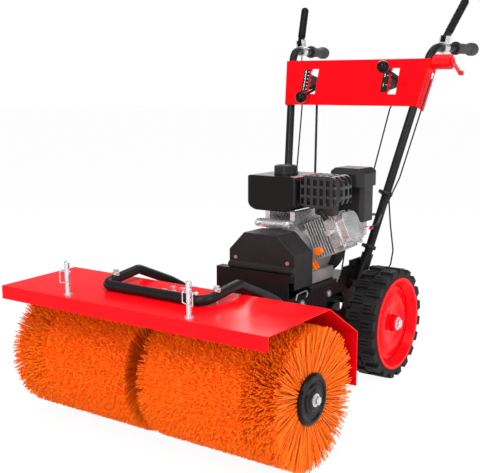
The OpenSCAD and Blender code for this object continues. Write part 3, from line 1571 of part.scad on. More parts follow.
// Selector levers: hub, rod, ball knob, and on the left the stud for the shift rod
module selector(side, angle) {
  color("black") translate([side * selector_x, selector_pivot.x, selector_pivot.y]) rotate([angle, 0, 0])
    difference() {
    union() {
      rod_x(selector_hub_r, selector_hub_w);
      rotate([90, 0, 0]) rod_z(selector_rod_r, selector_l);
      translate([0, -selector_l, 0]) sphere(r = knob_r);
      translate([0, -selector_l + knob_r * knob_shares[0], 0]) rotate([90, 0, 0])
        cylinder(r1 = selector_rod_r * 4 / 3, r2 = knob_r * knob_shares[1], h = knob_r * knob_shares[2]);
      if (side < 0) translate([stud_l / 2, -stud_at, 0]) rod_x(stud_r, stud_l);
    }
    rod_x(selector_pin_r + pin_fit, selector_hub_w * 2);
  }
}

module selector_left() { selector(-1, selector_down); }

module selector_right() { selector(1, -selector_up); }

// A point off the tubes' plane: up the slope v, to the front n, as [y, z]
function panel_point(v, n) =
  [tube_y + v * sin(tube_lean) - n * cos(tube_lean), panel_z + v * cos(tube_lean) + n * sin(tube_lean)];

// One cheek behind the panel beside each selector, with its fixed pin
module selector_brackets() {
  gap = selector_hub_w / 2 + run_gap;
  foot = panel_front - seat_gap;
  half = [0, selector_hub_r * 4 / 5];
  color("black") for (x = [-selector_x, selector_x]) translate([x, 0, 0]) {
    translate([-gap - selector_cheek_t / 2, 0, 0]) bar_x(selector_cheek_t) {
      polygon([panel_point(cheek_low, foot), panel_point(cheek_high, foot), selector_pivot + half,
        selector_pivot - half]);
      translate(selector_pivot) circle(selector_hub_r);
    }
    translate([selector_cheek_t, selector_pivot.x, selector_pivot.y])
      rod_x(selector_pin_r, (gap + selector_cheek_t) * 2);
  }
}

// Shift rod: an eye round the left selector's stud, a link and a plunger in the deck
module shift_rod() {
  top = [eye_x - selector_x, selector_pivot.x - stud_at * cos(selector_down),
    selector_pivot.y - stud_at * sin(selector_down)];
  low = [plunger_x, plunger_y, plunger_top];
  color("black") difference() {
    union() {
      translate(top) rod_x(eye_r, eye_t);
      rod(top, low, rod_r);
      translate(low) sphere(r = plunger_r * 5 / 4);
      translate([plunger_x, plunger_y, plunger_bottom]) rod_z(plunger_r, plunger_top - plunger_bottom);
    }
    translate(top) rod_x(eye_bore_r, eye_t * 4);
  }
}

// Throttle: a housing on the panel's right flange, and its lever on a pin
throttle_at = concat([tube_u(throttle_v) + panel_side + throttle_w + run_gap],
                     panel_point(throttle_v, throttle_n));

module throttle_housing() {
  in = panel_side + seat_gap;
  color("red") difference() {
    on_panel() difference() {
      translate([tube_x, throttle_v, throttle_n]) lie_x()
        rod_z(throttle_r, throttle_at.x - run_gap - tube_x);
      up(-panel_d * 2) linear_extrude(panel_d * 4)
        polygon([[0, 0], [tube_u(0) + in, 0], [tube_u(panel_h * 2) + in, panel_h * 2], [0, panel_h * 2]]);
    }
    translate(throttle_at) rod_x(throttle_pin_r + pin_fit, throttle_pin_l * 2 + run_gap);
  }
}

module throttle_lever() {
  color("firebrick") translate(throttle_at) rotate([-throttle_drop, 0, 0]) {
    lie_x() rod_z(throttle_hub_r, throttle_arm_t);
    rod_x(throttle_pin_r, throttle_pin_l * 2);
    up(-throttle_arm_w / 2) cube([throttle_arm_t, throttle_arm_l, throttle_arm_w]);
    translate([0, throttle_arm_l, 0]) lie_x() rod_z(throttle_arm_w * 2 / 3, throttle_arm_t * 2);
  }
}

// Cables from the clutch levers, the throttle and the right selector
function beside_tube(v, out, n) = concat([tube_u(v) + out], panel_point(v, n));
clutch_end = corner + grip_way * clutch_at - [0, 0, clamp_ring_r + cable_r + run_gap];
behind_n = -tube_r - cable_r - run_gap;
flange_out = panel_side + cable_r + cable_room;

module control_cables() {
  color("black") {
    bent_tube(concat([clutch_end, beside_tube(cable_high_v, 0, behind_n),
                      beside_tube(-cable_low_v, 0, behind_n)], right_shares * route_step),
              cable_bend_r, cable_r);
    bent_tube(concat([beside_tube(cable_high_v, flange_out, throttle_n)],
                     throttle_shares * route_step), cable_bend_r, cable_r);
    bent_tube(concat([[-clutch_end.x, clutch_end.y, clutch_end.z]],
                     left_shares * route_step), cable_bend_r, cable_r);
    bent_tube(selector_shares * route_step, cable_bend_r, cable_r);
  }
}

placed() hood();
placed() hood_support();
placed() head_bolts();
placed() yoke_tube();
placed() accessory_posts();
placed() linch_pins();
placed() bristles_left();
placed() bristles_right();
placed() brush_drums();
placed() brush_shaft();
placed() end_flanges();
placed() end_bolts();
placed() gearbox_housing();
placed() gearbox_cover();
placed() pinion_shaft();
placed() torque_tube();
placed() swivel_bracket();
placed() kingpins();
placed() front_plate();
placed() chassis_frame();
placed() drive_shaft();
placed() drive_pulley();
placed() crank_pulley();
placed() drive_belt();
placed() bearings();
placed() idler_arm();
placed() belt_cover();
placed() chassis_screws();
placed() transaxle();
placed() axle_shaft();
placed() wheels();
placed() tyres();
placed() engine_block();
placed() cylinder_head();
placed() fuel_tank();
placed() fuel_cap();
placed() tank_bracket();
placed() muffler();
placed() muffler_guard();
placed() air_cleaner();
placed() carburettor();
placed() choke_lever();
placed() recoil_starter();
placed() starter_grip();
placed() dipstick();
placed() handle_tubes();
placed() handle_sockets();
placed() control_panel();
placed() hand_grips();
placed() lever_brackets();
placed() clutch_lever_left();
placed() clutch_lever_right();
placed() selector_brackets();
placed() selector_left();
placed() selector_right();
placed() shift_rod();
placed() throttle_housing();
placed() throttle_lever();
placed() control_cables();
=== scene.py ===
"""Looks of the walk-behind power brush sweeper: finishes, bristles, cables, trim and studio."""

import json
import math

import bpy
import numpy as np
from mathutils import Matrix, Vector


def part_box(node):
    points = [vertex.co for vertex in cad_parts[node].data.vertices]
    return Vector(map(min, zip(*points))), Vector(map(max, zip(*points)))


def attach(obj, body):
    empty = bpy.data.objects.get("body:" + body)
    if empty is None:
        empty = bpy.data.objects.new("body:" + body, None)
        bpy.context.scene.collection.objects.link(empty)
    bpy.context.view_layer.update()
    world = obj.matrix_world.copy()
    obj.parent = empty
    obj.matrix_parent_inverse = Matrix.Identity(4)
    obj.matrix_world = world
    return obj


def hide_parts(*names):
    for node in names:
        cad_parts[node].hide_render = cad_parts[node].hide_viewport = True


bl_info = {
    "name": "Power Brush Sweeper",
    "version": (1, 0, 0),
    "blender": (4, 5, 0),
    "location": "View3D > Sidebar > Sweeper",
    "description": "Dresses the packed sweeper with its finishes, bristles, cables, trim and studio",
    "category": "Object",
}

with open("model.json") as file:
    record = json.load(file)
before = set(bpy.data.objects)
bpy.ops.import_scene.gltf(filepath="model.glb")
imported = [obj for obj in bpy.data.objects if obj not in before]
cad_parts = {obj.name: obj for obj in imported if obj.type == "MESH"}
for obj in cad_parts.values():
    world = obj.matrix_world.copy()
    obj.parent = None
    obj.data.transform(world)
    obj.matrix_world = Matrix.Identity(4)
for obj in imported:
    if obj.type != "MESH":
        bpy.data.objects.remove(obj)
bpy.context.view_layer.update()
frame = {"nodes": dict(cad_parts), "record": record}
SLOT_OF = {s["node"]: s["material_slot"] for s in frame["record"]["subparts"]}
BRUSH_LOW, BRUSH_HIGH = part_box("bristles_right")
BRUSH_AXIS = Vector((0.0, (BRUSH_LOW.y + BRUSH_HIGH.y) / 2, (BRUSH_LOW.z + BRUSH_HIGH.z) / 2))
BRUSH_RADIUS = (BRUSH_HIGH.z - BRUSH_LOW.z) / 2
DRUM_LOW, DRUM_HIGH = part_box("brush_drums")
DRUM_RADIUS = (DRUM_HIGH.z - DRUM_LOW.z) / 2
# Where the innermost ring of tufts is rooted
ROOT_IN = 0.051

# The lean of the engine's cylinder, and how far up it the rocker cover's flange stands
CYLINDER_LEAN = math.radians(25.0)
ROCKER_FLANGE = 0.1925
# How far the right handle tube stands from the middle at the panel's foot, and its spread going up
TUBE_FOOT, TUBE_SPREAD = 0.2302, 0.152
# Rings of a cable's end barrel: shares of its length and widths there
BARREL_RINGS = ((0.10, 1.0), (0.32, 1.0), (0.36, 0.78), (0.64, 0.78), (0.68, 1.0))
# How far the pressed faces stand from the middle, and their radius in the wheels' dishes
WHEEL_FACE = 0.267
WHEEL_DISH = 0.1115
# The tyres' width and the bars in each row of their tread
TYRE_WIDTH = 0.095
TREAD_BARS = 20
# The panel's lean, the point on its lower edge in the tubes' plane, and its face ahead of that plane
PANEL_LEAN = math.radians(18.0)
PANEL_FOOT = Vector((0.0, 0.9344, 0.832))
PANEL_FACE = 0.0157
# The grips' height and splay, and how far behind and below that a cable leaves its lever, in millimetres
GRIP_HEIGHT = 1024.0
GRIP_SPLAY = math.radians(6.65)
LEVER_BACK, LEVER_DROP = 72.0, 21.4
# How far a cable lies behind a tube's middle, and beside and behind it at the panel
CABLE_BEHIND = 0.0164
CABLE_BESIDE, CABLE_BACK = 0.02338, 0.014
# Where the CAD source's own zero lies in the row frame, along Y
ROW_SHIFT = BRUSH_AXIS.y
# The photo's camera: its eye and aim in the CAD source's millimetres, its lens and its sensor
CAMERA_EYE = (1408.07, -1699.09, 898.85)
CAMERA_AIM = (0.0, 297.90, 479.8)
CAMERA_LENS, CAMERA_SENSOR = 65.63, 36.0
# The soft lamps: name, place, size and power, all turned to one aim
LAMP_AIM = Vector((0.0, -0.25, 0.4))
LAMPS = (
    ("key_softbox", (0.4, -2.7, 3.4), 1.8, 80.0),
    ("top_softbox", (0.3, 0.1, 3.1), 2.6, 28.0),
    ("side_softbox", (3.0, -0.6, 1.9), 1.8, 45.0),
    ("low_softbox", (0.9, -3.5, 0.9), 2.2, 42.0),
    ("back_softbox", (-1.2, 2.6, 2.2), 1.6, 30.0),
)
# How much of the floor's own white the camera sees, and how bright the world is to other rays
FLOOR_WHITE = 0.95
WORLD_FILL = 0.75


class SweeperFinishes(bpy.types.PropertyGroup):
    """Colours of the sweeper's finishes"""

    enamel: bpy.props.FloatVectorProperty(
        name="Enamel", description="Red enamel of the hood, panel and wheel discs",
        subtype="COLOR", size=3, min=0, max=1, default=(0.80, 0.002, 0.006))
    bristle: bpy.props.FloatVectorProperty(
        name="Bristle", description="Orange polymer of the brush",
        subtype="COLOR", size=3, min=0, max=1, default=(1.0, 0.16, 0.006))
    frame_black: bpy.props.FloatVectorProperty(
        name="Frame black", description="Powder coat of the frame, yoke and handle tubes",
        subtype="COLOR", size=3, min=0, max=1, default=(0.010, 0.010, 0.011))
    cover_grey: bpy.props.FloatVectorProperty(
        name="Cover grey", description="Textured coat of the belt cover",
        subtype="COLOR", size=3, min=0, max=1, default=(0.019, 0.018, 0.019))
    grip_grey: bpy.props.FloatVectorProperty(
        name="Grip grey", description="Rubber of the hand grips",
        subtype="COLOR", size=3, min=0, max=1, default=(0.045, 0.045, 0.046))
    cast: bpy.props.FloatVectorProperty(
        name="Cast alloy", description="Bare castings of the engine and transaxle",
        subtype="COLOR", size=3, min=0, max=1, default=(0.55, 0.55, 0.55))


class SweeperSizes(bpy.types.PropertyGroup):
    """Sizes of the pieces that the looks add"""

    tuft_rings: bpy.props.IntProperty(
        name="Tuft rings", description="Rings of tufts on each half of the brush",
        default=30, min=8, max=32)
    tufts_round: bpy.props.IntProperty(
        name="Tufts round", description="Tufts in each ring", default=44, min=12, max=46)
    strands: bpy.props.IntProperty(
        name="Strands", description="Strands in each tuft", default=16, min=4, max=20)
    strand_radius: bpy.props.FloatProperty(
        name="Strand radius", description="Radius of one strand", subtype="DISTANCE", unit="LENGTH",
        default=0.0013, min=0.0006, max=0.002)
    heart: bpy.props.FloatProperty(
        name="Heart", description="Reach of the packed inner bristles, as a share of the brush's radius",
        default=0.91, min=0.6, max=0.94)
    fan: bpy.props.FloatProperty(
        name="Fan", description="How far strands of a tuft spread at their tips", subtype="DISTANCE",
        unit="LENGTH", default=0.008, min=0.0, max=0.015)
    cable_diameter: bpy.props.FloatProperty(
        name="Cable diameter", description="Outside of a control cable", subtype="DISTANCE", unit="LENGTH",
        default=0.005, min=0.004, max=0.006)


class Finish:
    """A material under construction on the piece's own coordinates"""

    def __init__(self, name):
        self.material = bpy.data.materials.new(name)
        self.material.use_nodes = True
        self.tree = self.material.node_tree
        self.shader = self.tree.nodes["Principled BSDF"]
        self.place = self.add("ShaderNodeTexCoord").outputs["Object"]

    def add(self, kind, **settings):
        node = self.tree.nodes.new(kind)
        for key, value in settings.items():
            setattr(node, key, value)
        return node

    def link(self, source, target):
        self.tree.links.new(source, target)

    def set(self, **values):
        for key, value in values.items():
            socket = self.shader.inputs[key.replace("_", " ")]
            socket.default_value = (*value, 1.0) if isinstance(value, tuple) else value

    def noise(self, scale, detail=3.0, stretch=None):
        texture = self.add("ShaderNodeTexNoise")
        texture.inputs["Scale"].default_value = scale
        texture.inputs["Detail"].default_value = detail
        source = self.place
        if stretch:
            mapping = self.add("ShaderNodeMapping")
            mapping.inputs["Scale"].default_value = stretch
            self.link(source, mapping.inputs["Vector"])
            source = mapping.outputs["Vector"]
        self.link(source, texture.inputs["Vector"])
        return texture.outputs["Fac"]

    def spread(self, source, low, high, start=0.3, end=0.7):
        ranged = self.add("ShaderNodeMapRange")
        for key, value in (("From Min", start), ("From Max", end), ("To Min", low), ("To Max", high)):
            ranged.inputs[key].default_value = value
        self.link(source, ranged.inputs["Value"])
        return ranged.outputs["Result"]

    def math(self, operation, *values):
        node = self.add("ShaderNodeMath", operation=operation)
        for socket, value in zip(node.inputs, values):
            if isinstance(value, bpy.types.NodeSocket):
                self.link(value, socket)
            else:
                socket.default_value = value
        return node.outputs["Value"]

    def times(self, a, b):
        return self.math("MULTIPLY", a, b)

    def along(self, axis):
        """The place along one axis"""
        parts = self.add("ShaderNodeSeparateXYZ")
        self.link(self.place, parts.inputs["Vector"])
        return parts.outputs[axis]

    def blend(self, factor, first, second):
        mixed = self.add("ShaderNodeMix", data_type="RGBA")
        self.link(factor, mixed.inputs[0])
        for value, socket in ((first, mixed.inputs[6]), (second, mixed.inputs[7])):
            if isinstance(value, bpy.types.NodeSocket):
                self.link(value, socket)
            else:
                socket.default_value = (*value, 1.0)
        return mixed.outputs[2]

    def soft_edges(self, radius):
        """The rounded normal at edges, and how far it leans from the face there"""
        rounded = self.add("ShaderNodeBevel", samples=4)
        rounded.inputs["Radius"].default_value = radius
        flat = self.add("ShaderNodeNewGeometry")
        lean = self.add("ShaderNodeVectorMath", operation="DOT_PRODUCT")
        self.link(rounded.outputs["Normal"], lean.inputs[0])
        self.link(flat.outputs["Normal"], lean.inputs[1])
        return rounded.outputs["Normal"], self.spread(lean.outputs["Value"], 0.0, 1.0, 0.995, 0.9)

    def relief(self, height, depth, normal=None, strength=1.0):
        bump = self.add("ShaderNodeBump")
        bump.inputs["Strength"].default_value = strength
        bump.inputs["Distance"].default_value = depth
        self.link(height, bump.inputs["Height"])
        if normal:
            self.link(normal, bump.inputs["Normal"])
        self.link(bump.outputs["Normal"], self.shader.inputs["Normal"])

    def colour(self, source):
        self.link(source, self.shader.inputs["Base Color"])

    def gloss(self, source):
        self.link(source, self.shader.inputs["Roughness"])


def shade(colour, factor):
    return tuple(min(1.0, c * factor) for c in colour)


def enamel(name, colour):
    """Glossy sprayed enamel with a slight orange peel and painted highlights on its edges"""
    f = Finish(name)
    normal, edge = f.soft_edges(0.0012)
    cloud = f.blend(f.spread(f.noise(6.0), 0.0, 1.0), shade(colour, 0.93), colour)
    # Painted highlight: the edges are painted 1.25 times lighter, in patches
    f.colour(f.blend(f.times(edge, f.spread(f.noise(90.0), 0.0, 0.8)), cloud, shade(colour, 1.25)))
    f.gloss(f.spread(f.noise(14.0, 4.0), 0.14, 0.22))
    f.relief(f.noise(260.0, 2.0), 0.00004, normal)
    f.set(Specular_IOR_Level=0.07)
    return f.material


def powder_coat(name, colour, rough=0.3, depth=0.00005, wear=2.5, edge_radius=0.0012, mirror=0.16):
    """Baked powder coat with a fine grain and edges painted lighter, by the factor wear, as a painted
    highlight
    """
    f = Finish(name)
    normal, edge = f.soft_edges(edge_radius)
    cloud = f.blend(f.spread(f.noise(9.0), 0.0, 1.0), shade(colour, 0.8), shade(colour, 1.15))
    # Painted highlight: the edges are painted wear times lighter, in patches
    edge_highlight = f.times(edge, f.spread(f.noise(120.0), 0.1, 1.0))
    f.colour(f.blend(edge_highlight, cloud, shade(colour, wear)))
    f.gloss(f.spread(f.noise(40.0, 4.0), rough - 0.06, rough + 0.08))
    f.relief(f.noise(900.0, 2.0), depth, normal)
    f.set(Specular_IOR_Level=mirror)
    return f.material


def moulded(name, colour, rough=0.4, depth=0.00004, grain=700.0, mirror=0.25, edge_radius=0.001):
    """Moulded plastic with a fine surface grain and a painted highlight on its edges"""
    f = Finish(name)
    normal, edge = f.soft_edges(edge_radius)
    cloud = f.blend(f.spread(f.noise(12.0), 0.0, 1.0), shade(colour, 0.88), shade(colour, 1.08))
    # Painted highlight: the edges are painted 1.5 times lighter
    f.colour(f.blend(edge, cloud, shade(colour, 1.5)))
    f.gloss(f.spread(f.noise(60.0), rough - 0.05, rough + 0.07))
    f.relief(f.noise(grain, 3.0), depth, normal)
    f.set(Specular_IOR_Level=mirror)
    return f.material


def plated(name, colour, rough=0.24):
    """Zinc-plated steel with a cloudy passivated film and a painted highlight on its edges"""
    f = Finish(name)
    normal, edge = f.soft_edges(0.0006)
    cloud = f.blend(f.spread(f.noise(70.0, 4.0), 0.0, 1.0), shade(colour, 0.78), colour)
    # Painted highlight: the edges are painted 1.2 times lighter
    f.colour(f.blend(edge, cloud, shade(colour, 1.2)))
    f.gloss(f.spread(f.noise(180.0), rough - 0.08, rough + 0.1))
    f.relief(f.noise(700.0, 2.0, (1.0, 1.0, 0.12)), 0.000004, normal)
    f.set(Metallic=0.8)
    return f.material


def casting(name, colour, rough=0.34, metal=0.65, depth=0.00003, foot=None):
    """Cast metal: grainy skin with cloudy darker patches and a painted highlight on its edges, and below
    the height of its foot black paint
    """
    f = Finish(name)
    normal, edge = f.soft_edges(0.0015)
    skin = f.noise(420.0, 5.0)
    cloud = f.blend(f.spread(f.noise(25.0, 4.0), 0.0, 1.0), shade(colour, 0.6), colour)
    # Painted highlight: the edges are painted 1.3 times lighter
    bare = f.blend(edge, cloud, shade(colour, 1.3))
    f.gloss(f.spread(skin, rough - 0.08, rough + 0.14))
    f.relief(skin, depth, normal)
    if foot is None:
        f.colour(bare)
        f.set(Metallic=metal)
    else:
        above = f.math("GREATER_THAN", f.along("Z"), foot)
        f.colour(f.blend(above, (0.010, 0.010, 0.011), bare))
        f.link(f.times(above, metal), f.shader.inputs["Metallic"])
    return f.material


def rubber(name, colour, rough=0.7, depth=0.00012):
    """Moulded rubber with its edges painted lighter as a dull painted highlight"""
    f = Finish(name)
    normal, edge = f.soft_edges(0.002)
    cloud = f.blend(f.spread(f.noise(18.0, 4.0), 0.0, 1.0), shade(colour, 0.75), shade(colour, 1.2))
    # Painted highlight: the edges are painted 2.2 times lighter
    f.colour(f.blend(edge, cloud, shade(colour, 2.2)))
    f.gloss(f.spread(f.noise(140.0), rough - 0.1, rough + 0.1))
    f.relief(f.noise(520.0, 4.0), depth, normal)
    f.set(Specular_IOR_Level=0.2)
    return f.material


def tread(name, colour):
    """Tyre rubber with two notches in every tread bar, cut into the bump and painted near-black as the
    shade inside them, and a painted highlight on its edges
    """
    f = Finish(name)
    low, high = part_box("tyres")
    across = f.math("SUBTRACT", f.math("ABSOLUTE", f.along("X")), high.x - TYRE_WIDTH / 2)
    outer = f.math("GREATER_THAN", across, 0.0)
    turn = f.math("ARCTAN2", f.math("SUBTRACT", f.along("Y"), (low.y + high.y) / 2),
                  f.math("SUBTRACT", f.along("Z"), (low.z + high.z) / 2))
    bars = f.math("MULTIPLY_ADD", outer, 0.5, f.math("MULTIPLY", turn, TREAD_BARS / math.tau))
    beside = f.math("ABSOLUTE", f.math("SUBTRACT", bars, f.math("ROUND", bars)))
    notch = f.math("LESS_THAN", f.math("ABSOLUTE", f.math("SUBTRACT", beside, 0.1)), 0.042)
    reach = f.math("ABSOLUTE", f.math("SUBTRACT", f.math("ABSOLUTE", across), 0.019))
    cut = f.times(notch, f.math("LESS_THAN", reach, 0.014))
    normal, edge = f.soft_edges(0.002)
    cloud = f.blend(f.spread(f.noise(18.0, 4.0), 0.0, 1.0), shade(colour, 0.75), shade(colour, 1.2))
    # Painted highlight: the edges are painted 2.6 times lighter
    tread_edge_highlight = f.blend(edge, cloud, shade(colour, 2.6))
    # Painted shade: the notches are painted near-black, as the shade inside the grooves
    f.colour(f.blend(cut, tread_edge_highlight, (0.001, 0.001, 0.001)))
    f.gloss(f.math("MULTIPLY_ADD", cut, 0.3, f.spread(f.noise(140.0), 0.5, 0.66)))
    f.relief(f.math("SUBTRACT", f.times(f.noise(520.0, 4.0), 0.03), cut), 0.003, normal)
    f.set(Specular_IOR_Level=0.14)
    return f.material


def bristle_polymer(name, colour):
    """Drawn polymer strands: each strand has its own tone, and the roots are painted darker than the tips
    as the shade deep in the brush
    """
    f = Finish(name)
    tone = f.add("ShaderNodeAttribute", attribute_name="tone").outputs["Fac"]
    reach = f.add("ShaderNodeAttribute", attribute_name="reach").outputs["Fac"]
    body = f.blend(tone, shade(colour, 0.92), (colour[0], min(1.0, colour[1] * 1.2), colour[2]))
    # Painted shade: reach runs from root to tip, and the roots are painted darker
    f.colour(f.blend(f.spread(reach, 0.0, 1.0, 0.05, 0.75), shade(colour, 0.85), body))
    f.gloss(f.spread(f.noise(220.0), 0.36, 0.5))
    f.relief(f.noise(2500.0, 2.0), 0.0001)
    f.set(Specular_IOR_Level=0.15, Subsurface_Weight=0.4, Subsurface_Scale=0.006)
    return f.material


def bristle_heart(name, colour):
    """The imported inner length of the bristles, where no strand shows by itself"""
    f = Finish(name)
    packed = f.spread(f.noise(420.0, 4.0), 0.0, 1.0, 0.35, 0.65)
    f.colour(f.blend(packed, shade(colour, 0.75), colour))
    f.gloss(f.spread(f.noise(220.0), 0.55, 0.7))
    f.relief(packed, 0.0008)
    f.set(Specular_IOR_Level=0.1)
    return f.material


def printed_film(name, colour):
    """Printed plastic film with a faint print grain"""
    f = Finish(name)
    f.colour(f.blend(f.spread(f.noise(300.0), 0.0, 1.0), shade(colour, 0.85), colour))
    f.gloss(f.spread(f.noise(50.0), 0.45, 0.55))
    f.relief(f.noise(1200.0), 0.00001)
    f.set(Specular_IOR_Level=0.15)
    return f.material


def finishes():
    """Every finish by the record's slot name"""
    c = bpy.context.scene.sweeper_finishes
    red, black = tuple(c.enamel), tuple(c.frame_black)
    return {
        "red_paint": enamel("hood_enamel", red),
        "black_paint": powder_coat("frame_coat", black),
        # The belt cover's edges are painted 3.5 times lighter over 4 mm: a painted highlight
        "charcoal": powder_coat("cover_coat", tuple(c.cover_grey), 0.4, 0.0001, 3.5, 0.004, 0.12),
        "zinc": plated("zinc_plate", (0.72, 0.72, 0.74)),
        "steel": plated("turned_steel", (0.45, 0.45, 0.47), 0.34),
        "cast_aluminium": casting("engine_casting", tuple(c.cast)),
        "iron": casting("iron_casting", (0.03, 0.03, 0.031), 0.5, 0.4),
        "tyre_rubber": rubber("tyre_rubber", (0.016, 0.016, 0.016)),
        "rubber": rubber("grip_rubber", tuple(c.grip_grey), 0.6),
        "black_plastic": moulded("moulded_black", (0.014, 0.014, 0.015)),
        # The tank's wide edges are painted 1.5 times lighter: a painted highlight
        "gloss_black": moulded("gloss_black", (0.006, 0.005, 0.005), 0.14, 0.00001, mirror=0.12,
                               edge_radius=0.005),
        "red_plastic": moulded("moulded_red", shade(red, 0.8), 0.3),
        "orange_plastic": moulded("moulded_orange", (0.9, 0.16, 0.004), 0.3),
        "cable": moulded("cable_jacket", (0.012, 0.012, 0.013), 0.35),
    }


def deselect():
    if bpy.context.object and bpy.context.object.mode != "OBJECT":
        bpy.ops.object.mode_set(mode="OBJECT")
    bpy.ops.object.select_all(action="DESELECT")


def activate(piece):
    """Selects the piece alone and makes it the active one"""
    deselect()
    piece.select_set(True)
    bpy.context.view_layer.objects.active = piece


def block(name, size, at):
    """A thin plate of the given size with its place in its mesh"""
    deselect()
    bpy.ops.mesh.primitive_cube_add(size=1.0, location=at)
    piece = bpy.context.object
    piece.name = name
    piece.scale = size
    bpy.ops.object.transform_apply(location=True, rotation=True, scale=True)
    return piece


def soften(piece, width, segments=2):
    """Rounds the piece's edges in edit mode"""
    activate(piece)
    bpy.ops.object.mode_set(mode="EDIT")
    bpy.ops.mesh.select_all(action="SELECT")
    bpy.ops.mesh.bevel(offset=width, segments=segments, affect="EDGES")
    bpy.ops.object.mode_set(mode="OBJECT")
    bpy.ops.object.shade_smooth_by_angle(angle=math.radians(35))


def joined(pieces, name):
    deselect()
    for piece in pieces:
        piece.select_set(True)
    bpy.context.view_layer.objects.active = pieces[0]
    bpy.ops.object.join()
    pieces[0].name = name
    return pieces[0]


def wear(piece, *materials):
    piece.data.materials.clear()
    for material in materials:
        piece.data.materials.append(material)


def one_strand(radius):
    """One bristle of unit length along Z: a three-sided rod with a bend ring and a cut tip"""
    deselect()
    bpy.ops.mesh.primitive_cylinder_add(vertices=3, radius=radius, depth=1.0, end_fill_type="NOTHING",
                                        location=(0, 0, 0))
    strand = bpy.context.object
    bpy.ops.object.mode_set(mode="EDIT")
    bpy.ops.mesh.select_all(action="SELECT")
    bpy.ops.transform.translate(value=(0, 0, 0.5))
    bpy.ops.mesh.bisect(plane_co=(0, 0, 0.55), plane_no=(0, 0, 1))
    bpy.ops.object.mode_set(mode="OBJECT")
    for vertex in strand.data.vertices:
        vertex.select = vertex.co.z > 0.9
    bpy.ops.object.mode_set(mode="EDIT")
    bpy.ops.mesh.select_mode(type="VERT")
    bpy.ops.mesh.edge_face_add()
    bpy.ops.object.mode_set(mode="OBJECT")
    points = np.array([v.co[:] for v in strand.data.vertices])
    faces = [tuple(p.vertices) for p in strand.data.polygons]
    bpy.data.objects.remove(strand)
    return points, faces


class SWEEPER_OT_coat_nodes(bpy.types.Operator):
    """Gives every CAD node the finish of its slot"""

    bl_idname = "sweeper.coat_nodes"
    bl_label = "Coat CAD Nodes"

    def execute(self, context):
        coats = finishes()
        colours = context.scene.sweeper_finishes
        coats["bristle"] = bristle_polymer("bristle_polymer", tuple(colours.bristle))
        bristle_heart("bristle_heart", tuple(colours.bristle))
        for name, colour in (("strip_black", (0.012, 0.012, 0.013)), ("strip_white", (0.82, 0.82, 0.82)),
                             ("stripe_white", (0.6, 0.6, 0.6)), ("stripe_red", (0.5, 0.01, 0.01))):
            printed_film(name, colour)
        finer = {
            "cylinder_head": casting("polished_head", (0.7, 0.7, 0.71), 0.28, 0.7, 0.00001),
            "engine_block": casting("crankcase_casting", tuple(colours.cast), foot=0.317),
            "end_flanges": coats["gloss_black"],
            "clutch_lever_left": coats["gloss_black"],
            "clutch_lever_right": coats["gloss_black"],
            "chassis_screws": coats["steel"],
            # The guard's bars have their edges painted 9 times lighter: a painted highlight
            "muffler_guard": powder_coat("guard_coat", tuple(colours.frame_black), 0.26, wear=9.0,
                                         mirror=0.5),
            "tyres": tread("tyre_tread", (0.012, 0.012, 0.012)),
        }
        for name, node in frame["nodes"].items():
            node.data.materials.clear()
            node.data.materials.append(finer.get(name, coats[SLOT_OF[name]]))
        return {"FINISHED"}


